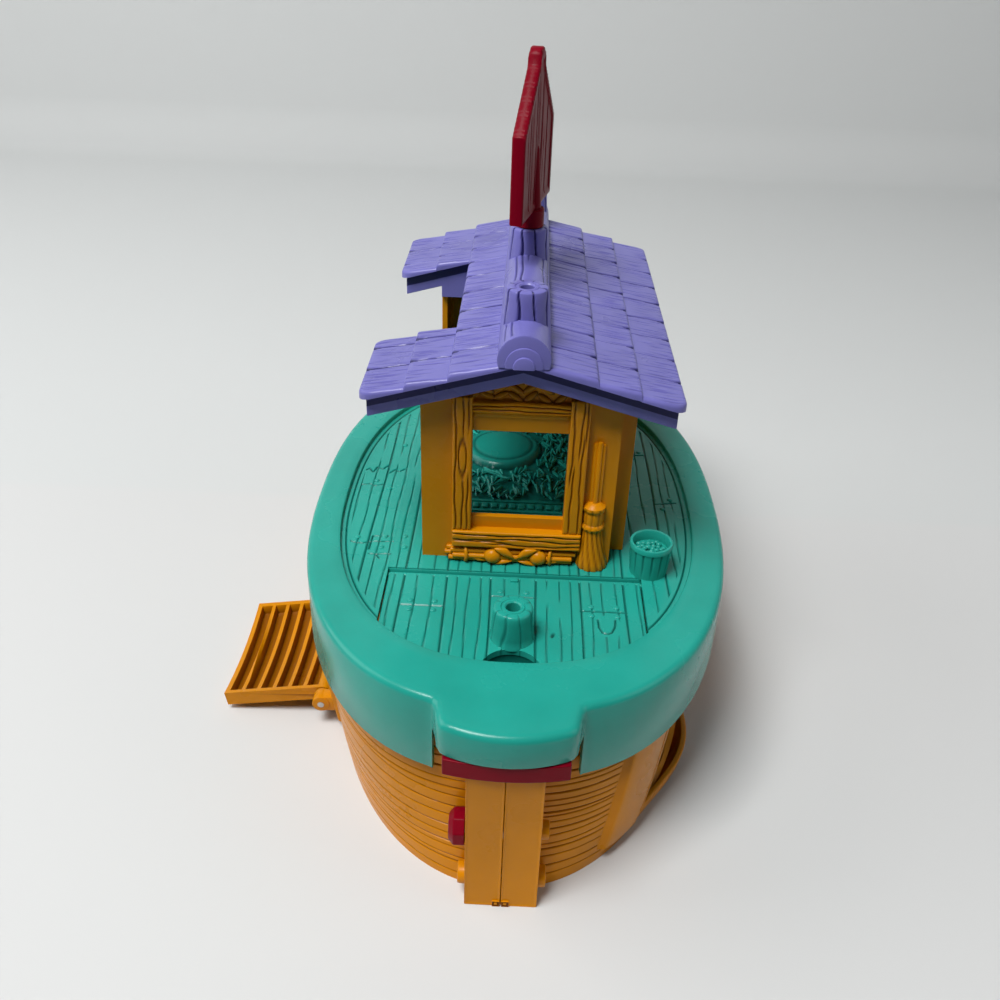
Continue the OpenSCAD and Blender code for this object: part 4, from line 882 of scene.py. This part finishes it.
# a curved crack round a knot, and a slanting dent beside the stump
depths = crack(depths, across, along, (33, -84.5), (33.2, -89), (34.5, -92.2), (36.2, -92.8), (38, -91.8),
               (39.3, -88.5), (39.8, -84.2))
slant = (across - 15.4 - 0.25 * (along + 95)) / 0.9
depths = np.maximum(depths, 0.7 * np.clip(1 - slant**2 - ((along + 95) / 1.9) ** 2, 0, 1))
drops = np.where(np.abs(across) > 51.1, 0.5, np.where(np.abs(across) > 50.9, 0.12, 0))
lid = sheet(bm, xs, ys, lambda x, y, d: Vector((x, max(y, hatch_front(x)), HATCH - d)), depths, drops)
flat_back(bm, welded(bm, lid), HATCH_UNDER)
dress(bm, "hatch_lid", "hatch", "teal_plastic", teal, "hatch")


# The house is moulded in amber in three pieces, screwed to the deck from below: a front with its window,
# a right wall and a rear wall. The walls are smooth.
# The boards round the window are carved like planed timber.
HOUSE_HALF = 38.7


def roof_under(x):
    """Height of the roof's underside at a distance from the ridge."""
    return 180.5 - 0.28 * abs(x)


def fallen(edge, soft):
    """How far a rounded edge has fallen away at a distance from the edge."""
    near = soft - np.clip(edge, 0, soft)
    return np.where(edge < soft, soft - np.sqrt(np.maximum(0, soft**2 - near**2)), 0)


def board(bm, place, wide, tall, thick, lines, knots=()):
    """A carved board lying in the plane of place, with its grain along the second axis.
    Each line is its offset, how far it bends aside, and the two ends that it runs between."""
    deep, soft = 0.6, 0.7
    us, vs = steps(-wide / 2, wide / 2, 0.36, soft), steps(-tall / 2, tall / 2, 1.8, soft)
    across, along = np.meshgrid(us, vs, indexing="ij")
    depths = np.zeros_like(across)
    for k, (u, bend, first, last) in enumerate(lines):
        sway = bend * np.sin(along / 6.5 + 1.7 * k) + 0.12 * np.sin(along / 2.1 + k)
        depths = groove(depths, across, along, u + sway, first, last, deep, 0.5, 4.0)
    for u, v, rx, ry in knots:
        ring = np.hypot((across - u) / rx, (along - v) / ry)
        depths = np.maximum(depths, deep * np.clip(1 - ((ring - 1) / 0.22) ** 2, 0, 1))
    edge = np.minimum(wide / 2 - np.abs(across), tall / 2 - np.abs(along))
    depths = np.where(edge < soft, depths * 0.6, depths)
    grid = sheet(bm, us, vs, lambda u, v, d: place @ Vector((u, v, -d)), depths, fallen(edge, soft))
    back = place.to_3x3() @ Vector((0, 0, -1))
    top = place.translation
    close_back(bm, grid, lambda p: p + back * (thick - (p - top).dot(back)))


def window_wall(bm, y_front, thick, left, right, bottom, top):
    """A smooth wall across the house, up to the roof, with a window in it."""
    xs = sorted({-HOUSE_HALF, left, 0.0, right, HOUSE_HALF})
    zs = sorted({FLOOR, bottom, 130.0, top, 200.0})
    grid = sheet(bm, xs, zs, lambda x, z, d: Vector((x, y_front, min(z, roof_under(x) - 0.3))))
    window = faces_in(faces_of(bm, grid), 0, left, right, bottom, top)
    bmesh.ops.delete(bm, geom=list(window), context="FACES")
    thicken(bm, faces_of(bm, [v for v in grid if v.is_valid]), Vector((0, -1, 0)), thick)


def facing_front(x, y, z, turn=0.0):
    """Place of a board on the front, turned in its own plane."""
    upright = Matrix.Translation((x, y, z)) @ Matrix.Rotation(math.pi / 2, 4, "X")
    return upright @ Matrix.Rotation(turn, 4, "Z")


bm = bmesh.new()
painted_shade = bm.verts.layers.float.new("painted_shade")
window_wall(bm, -48.4, 2.6, -18.6, 18.6, 109.0, 148.5)
rounded_block(bm, (-18.5, -49.3, 154.6), (18.5, -47.5, 157.0), 0.6)
wall_top = roof_under(HOUSE_HALF) - 0.3
rounded_block(bm, (-HOUSE_HALF, -48.0, FLOOR), (-36.1, -16.0, wall_top), 0.4)
rounded_block(bm, (36.1, -48.0, FLOOR), (HOUSE_HALF, -38.45, wall_top), 0.4)
# the boards left and right of the window, below it and above it
board(bm, facing_front(-22.4, -51.8, 134), 7.6, 60, 3.6,
      ((-2.5, 0.3, -34, 34), (2.4, 0.3, -34, -3), (0.2, 0.35, -34, -4.5), (0.3, 0.3, 12, 34),
       (2.6, 0.15, 14, 34)), ((0.2, 3.5, 1.5, 7.5),))
board(bm, facing_front(22.4, -51.8, 134), 7.6, 60, 3.6,
      ((-2.1, 0.3, -8, 34), (-1.3, 0.25, -34, 2), (1.0, 0.35, 4, 34), (1.9, 0.3, -34, 16),
       (2.9, 0.1, 10, 34)))
board(bm, facing_front(0, -52.8, 100.2, math.pi / 2), 7.6, 52.4, 4.6,
      ((-2.2, 0.3, -30, 12), (0.2, 0.45, -30, 30), (2.2, 0.2, -30, 30), (-1.0, 0.2, 2, 30)))
board(bm, facing_front(0, -50.8, 159.25, math.pi / 2), 4.5, 52.4, 2.6,
      ((-1.0, 0.2, -30, 30), (0.7, 0.25, -30, 30)))
# the gable's ornament: three rows of leaves that lean to either side in turn
rng = np.random.default_rng(21)
for row, (z, half) in enumerate(((163.2, 19.0), (167.0, 13.5), (170.6, 7.5))):
    for k, x in enumerate(np.arange(-half, half + 0.1, 5.6)):
        leaf = ball(bm, 12, 8, 1, (3.6, 0.9, 1.35))
        lean = Matrix.Rotation((1 if (k + row) % 2 else -1) * rng.uniform(0.35, 0.75), 3, "Y")
        put(bm, leaf, (x + rng.uniform(-0.6, 0.6), -48.6, z + rng.uniform(-0.5, 0.5)), lean)
        # painted shade on the leaves, darker towards the wall behind them
        for v in leaf:
            v[painted_shade] = 0.2 + 0.3 * min(1.0, max(0.0, (v.co.y + 49.5) / 0.9))
# the broom, with three sticks for its handle
BROOM_X, BROOM_Y = 30.8, -49.0


def bristle(turn, z, reach):
    """Grooves between the broom's bristles and in its binding."""
    if z < 19 and reach > 1:
        deep, place = 0.5, (turn + z / 40) / math.tau * 13 % 1
    elif 19.5 < z < 28:
        deep, place = 0.25, turn / math.tau * 9 % 1
    else:
        return 0.0
    return deep * max(0.0, 1 - (abs(place - 0.5) / 0.2) ** 2)


broom = turned(bm, (BROOM_X, BROOM_Y, FLOOR),
               [(0, 0), (6.5, 0), (6.7, 0.6), (6.3, 3), (5.5, 7), (4.8, 11), (4.2, 15), (4.0, 17.6),
                (4.6, 18.2), (4.8, 19.1), (4.6, 20), (4.0, 20.6), (4.2, 23.5), (3.9, 26.2), (4.5, 26.9),
                (4.7, 27.8), (4.5, 28.6), (3.3, 29.4), (2.2, 30.4), (0, 30.6)], 78, bristle)
for dx, dy, top in ((-1.35, 0.3, 57.0), (0.1, -0.9, 58.0), (1.5, 0.2, 56.4)):
    turned(bm, (BROOM_X + dx, BROOM_Y + dy, FLOOR),
           [(0, 27), (1.05, 27), (1.1, top - 1), (0.8, top - 0.3), (0, top)], 16)
for v in broom:
    if v.co.z < FLOOR + 17:
        v.co.x += 0.9 * (1 - (v.co.z - FLOOR) / 17) ** 1.5
# the reed bundle with its two ties, and the fruit and leaves in front of it
REEDS = ((0, 0), (1.9, 0.5), (-1.9, -0.3), (0.9, 1.8), (-0.9, 1.7), (0.9, -1.7), (-1.0, -1.9))
REEDS_Y, REEDS_Z = -49.9, 92.0
for k, (dy, dz) in enumerate(REEDS):
    left, right = -29.2 + (k * 1.7) % 4.3, 21.6 + (k * 2.3) % 3.1
    rod(bm, ((left + right) / 2, REEDS_Y + dy, REEDS_Z + dz), "Y", right - left, 1.15, 1.05, segments=14)
for x, lean in ((-21.0, 0.25), (14.6, -0.2)):
    before = set(bm.verts)
    ring = bmesh.ops.create_circle(bm, cap_ends=False, segments=10, radius=0.75,
                                   matrix=Matrix.Translation((0, 3.5, 0)))["verts"]
    bmesh.ops.spin(bm, geom=ring + list(edges_of(ring)), cent=(0, 0, 0), axis=(1, 0, 0),
                   angle=math.tau, steps=30, use_merge=True)
    hoop = [v for v in bm.verts if v not in before]
    put(bm, hoop, (x, REEDS_Y, REEDS_Z + 0.1), Matrix.Rotation(lean, 3, "Z"))
    welded(bm, hoop)
for side in (-1, 1):
    apple = (side * 9.3, -51.7, 92.2)
    put(bm, ball(bm, 24, 16, 3.5, (1.05, 0.9, 0.98)), apple)
    for x, y, z, long, wide, lean in (
        (4.4, -53.0, 94.9, 4.6, 1.9, -0.5),
        (5.0, -52.6, 89.9, 3.8, 1.1, 0.25),
        (15.0, -51.6, 90.4, 3.4, 1.2, -0.2),
    ):
        leaf = ball(bm, 24, 12, 1, (1, 1, 1))
        for v in leaf:
            v.co.z = v.co.z * (1 - 0.5 * abs(v.co.x)) - 0.35 * v.co.x * v.co.x
        bmesh.ops.scale(bm, verts=leaf, vec=(long, 1.2, wide))
        put(bm, leaf, (side * x, y, z), Matrix.Rotation(side * lean, 3, "Y"))
    turned(bm, apple, [(0, 2.6), (0.9, 3.1), (0.55, 4.4), (0, 4.6)], 12)
dress(bm, "house_front_moulding", "lid", "amber_plastic", amber, "house_front")
softened("house_right", "lid", amber, 0.4)
softened("house_rear", "lid", amber, 0.4)


# The roof is one lavender moulding: three courses of shingles on each side of a ridge log with three stumps.
# Each shingle has a thick rounded lip, and the joints between them end in a small chip.
# The left has a bay cut out, and a frame of strips hangs under the edges.
lavender = moulded_plastic("purple_plastic", paint(113, 110, 181), paint(16, 11, 78), rough=0.28, shine=0.3)
FRONT, REAR, LOG, LOG_RADIUS, MIDDLE_STUMP = -60.4, 124.0, 183.3, 9.7, 36.5


def course(bm, side, x0, x1, y0, y1, seed, rounded, hang):
    """One course of shingles between two ends. hang is how far its lip comes down,
    and rounded trims its outer corners."""
    rng = np.random.default_rng(seed)
    joints = [FRONT + 20.5 * k + rng.uniform(-0.5, 0.5) for k in range(1, 9)]
    joints = [y for y in joints if y0 + 4 < y < y1 - 4]
    ys = {j + d for j in joints for d in (-1.2, -0.5, -0.25, 0, 0.25, 0.5, 1.2)}
    ys = [y0 - 0.002, y0 - 0.001] + sorted(ys | set(steps(y0, y1, 0.5, 1.6))) + [y1 + 0.001, y1 + 0.002]
    runs = list(np.linspace(0, 1, 10)[:-1]) + [0.955, 0.975, 0.99, 1.0, 1.001, 1.002]
    lips = {0.955: 0.05, 0.975: 0.22, 0.99: 0.65, 1.0: 1.35, 1.001: 0.55 * hang, 1.002: hang}
    across, along = np.meshgrid(ys, [x0 + (x1 - x0) * min(t, 1) for t in runs], indexing="ij")
    depths = grain(across, along, seed, y0 + 1, y1 - 1, x0, x1, 1.25, 0.38, 0.32, 0.25)
    for j in joints:
        line = j + 0.25 * np.sin(along / 3 + j)
        depths = groove(depths, across, along, line, x0 - 9, x1 + 9, 0.85, 0.45)
        chip = np.clip((along - (x1 - 4.0)) / 4.0, 0, 1)
        split = np.clip(1 - np.abs(across - j) / (0.35 + 1.4 * chip), 0, 1) ** 0.6
        depths = np.maximum(depths, 1.8 * chip * split)
    drops = np.zeros_like(depths) + np.array([lips.get(t, 0.0) for t in runs])
    for k, y in enumerate(ys):
        end = max(0.0, min(y - y0, y1 - y))
        drops[k, :] += 1.5 * (1 - math.sqrt(max(0, 1 - (1 - end / 1.6) ** 2))) if end < 1.6 else 0.0
        drops[k, :] += 900 * max(0.0, y0 - y, y - y1)
        drops[k, :] += 0.22 * math.sin(0.9 * sum(y > j for j in joints) + seed)

    def place(y, t, d):
        x = x0 + (x1 - x0) * min(t, 1)
        inside = max(0.0, x - (x1 - 5)) if rounded else 0.0
        trim = 5 - math.sqrt(max(0.0, 25 - inside * inside))
        top = roof_under(x) + 2.4 + 1.9 * min(t, 1)
        y += trim * (max(0.0, 1 - max(0.0, y - y0) / 8) - max(0.0, 1 - max(0.0, y1 - y) / 8))
        return Vector((side * x, y, max(top - d, roof_under(x) + 0.8)))

    def under(p):
        x = min(abs(p.x), x1 - 2.6)
        return Vector((side * x, min(y1 - 3, max(y0 + 3, p.y)), roof_under(x)))

    close_back(bm, sheet(bm, ys, runs, place, depths, drops), under)


def log_spot(turn, y, d):
    """Point of the ridge log at a turn from its top."""
    reach = LOG_RADIUS - d
    return Vector((reach * math.sin(turn), y, LOG + reach * math.cos(turn)))


bm = bmesh.new()
for k, (x0, x1) in enumerate(((0.02, 27.5), (27.2, 43.5), (43.2, 60.5))):
    eave = k == 2
    hang = 3.4 if eave else 2.5
    course(bm, 1, x0, x1, FRONT, REAR, 60 + k, eave, hang)
    for y0, y1, seed in ((FRONT, REAR, 70),) if k == 0 else ((FRONT, -11.0, 70 + k), (71.0, REAR, 80 + k)):
        course(bm, -1, x0, x1, y0, y1, seed, eave, hang)
# the ridge log, with three discs one before the other on its front end
turns = list(np.radians(np.arange(-104, 104.1, 1.6)))
ys = steps(FRONT, REAR, 4.0, 0.8)
across, along = np.meshgrid([LOG_RADIUS * t for t in turns], ys, indexing="ij")
depths = grain(across, along, 90, -14, 14, FRONT, REAR, 3.4, 0.6, 0.6, 0.5)
log = sheet(bm, turns, ys, log_spot, depths)
close_back(bm, log, lambda p: Vector((p.x * 0.2, p.y, 180.6)))
for radius, proud, height in ((LOG_RADIUS, 0.3, LOG), (6.9, 0.9, 181.6), (4.0, 1.8, 181.2)):
    end = 2 + proud
    disc = turned(bm, (0, 0, 0), [(0, 0), (radius, 0), (radius, end - 0.5), (radius - 0.15, end - 0.15),
                                  (radius - 0.5, end), (0, end)], 60)
    put(bm, disc, (0, FRONT + 2, height), Matrix.Rotation(math.pi / 2, 3, "X"))
    faces = {f for v in disc for f in v.link_faces}
    edges = {e for f in faces for e in f.edges}
    cut = bmesh.ops.bisect_plane(bm, geom=disc + list(edges) + list(faces), plane_co=(0, 0, 180.55),
                                 plane_no=(0, 0, 1), clear_inner=True)
    bmesh.ops.holes_fill(bm, edges=only(BMEdge, cut["geom_cut"]), sides=0)
for y in (-38.0, MIDDLE_STUMP, 111.0):
    stump(bm, (0, y, 186.0), 8.6, 7.9, 17.0, 0.8)
dress(bm, "roof_moulding", "lid", "purple_plastic", lavender, "roof")


def below_roof(v):
    """How far a point lies below the roof's underside."""
    return roof_under(v.co.x / MM) - v.co.z / MM


def deepened(bm):
    """Draws the strips' lower edges down and gives their faces a line where the painted shadow under the roof
    ends.
    """
    for v in bm.verts:
        if below_roof(v) > 2.8:
            v.co.z -= 2.4 * MM
    fall = roof_under(0) - roof_under(1)
    for side in (-1, 1):
        for drop in (3.6, 4.0):
            bmesh.ops.bisect_plane(bm, geom=bm.verts[:] + bm.edges[:] + bm.faces[:],
                                   plane_co=(0, 0, (roof_under(0) - drop) * MM), plane_no=(side * fall, 0, 1))


def shaded(v):
    """Painted shadow of the roof's lip on the strips close under the roof."""
    return 0.95 if below_roof(v) < 3.8 else 0.0


softened("roof_frame", "lid", lavender, 0.3, shaded, deepened)


# The sign is a gloss crimson plaque with a pointed top on a tapered stem; its peg turns in the middle stump.
# Both faces are carved as upright planks, with a plain border.
bm = bmesh.new()
SIGN_HALF, SIGN_FOOT, SHOULDER, PEAK = 28, 210.6, 244.6, 268.6


def sign_top(y):
    """Top edge of the plaque at a distance from its middle."""
    slant = min(PEAK, SHOULDER + (PEAK - SHOULDER) * (SIGN_HALF - abs(y)) / 24.0)
    return slant if abs(y) > 4.9 else max(slant, PEAK + math.sqrt(25 - y * y))


for side in (-1, 1):
    ys = steps(-SIGN_HALF, SIGN_HALF, 0.45, 0.9)
    zs = steps(SIGN_FOOT, PEAK + 5, 1.5, 0.9)
    across, along = np.meshgrid(ys, zs, indexing="ij")
    tops = np.array([[sign_top(y)] * len(zs) for y in ys])
    edge = np.minimum(np.minimum(SIGN_HALF - np.abs(across), (tops - along) * 0.72), along - SIGN_FOOT)
    depths = np.where(edge > 4.2, grain(across, along, 95 + side, -22, 22, 205, 280, 3.4, 0.3, 0.45, 0.5), 0)
    for seam in (-15.5, -5.2, 5.2, 15.5):
        depths = np.where(edge > 3.6, groove(depths, across, along, seam, 200, 300, 0.6, 0.6), depths)
    drops = np.where(edge > 3.2, 0.5, 0) + fallen(edge, 0.9)
    face = sheet(bm, ys, zs, lambda y, z, d: Vector((side * (2.75 - d), y, min(z, sign_top(y)))),
                 depths, drops)
    close_back(bm, welded(bm, face), lambda p: Vector((-side * 0.02, p.y, p.z)))
turned(bm, (0, 0, 203),
       [(0, -9), (2.5, -9), (2.62, -8.6), (2.62, 0.2), (5.6, 0.2), (6.0, 0.6), (6.0, 7.5), (5.5, 8.0),
        (4.55, 8.0), (4.5, 8.4), (2.85, 32.0), (2.4, 33.4), (0, 33.6)], 48)
put(bm, bm.verts[:], (0, MIDDLE_STUMP, 0), Matrix.Rotation(math.radians(-12), 3, "Z"))
dress(bm, "sign_plaque", "sign", "crimson_plastic", crimson, "sign")
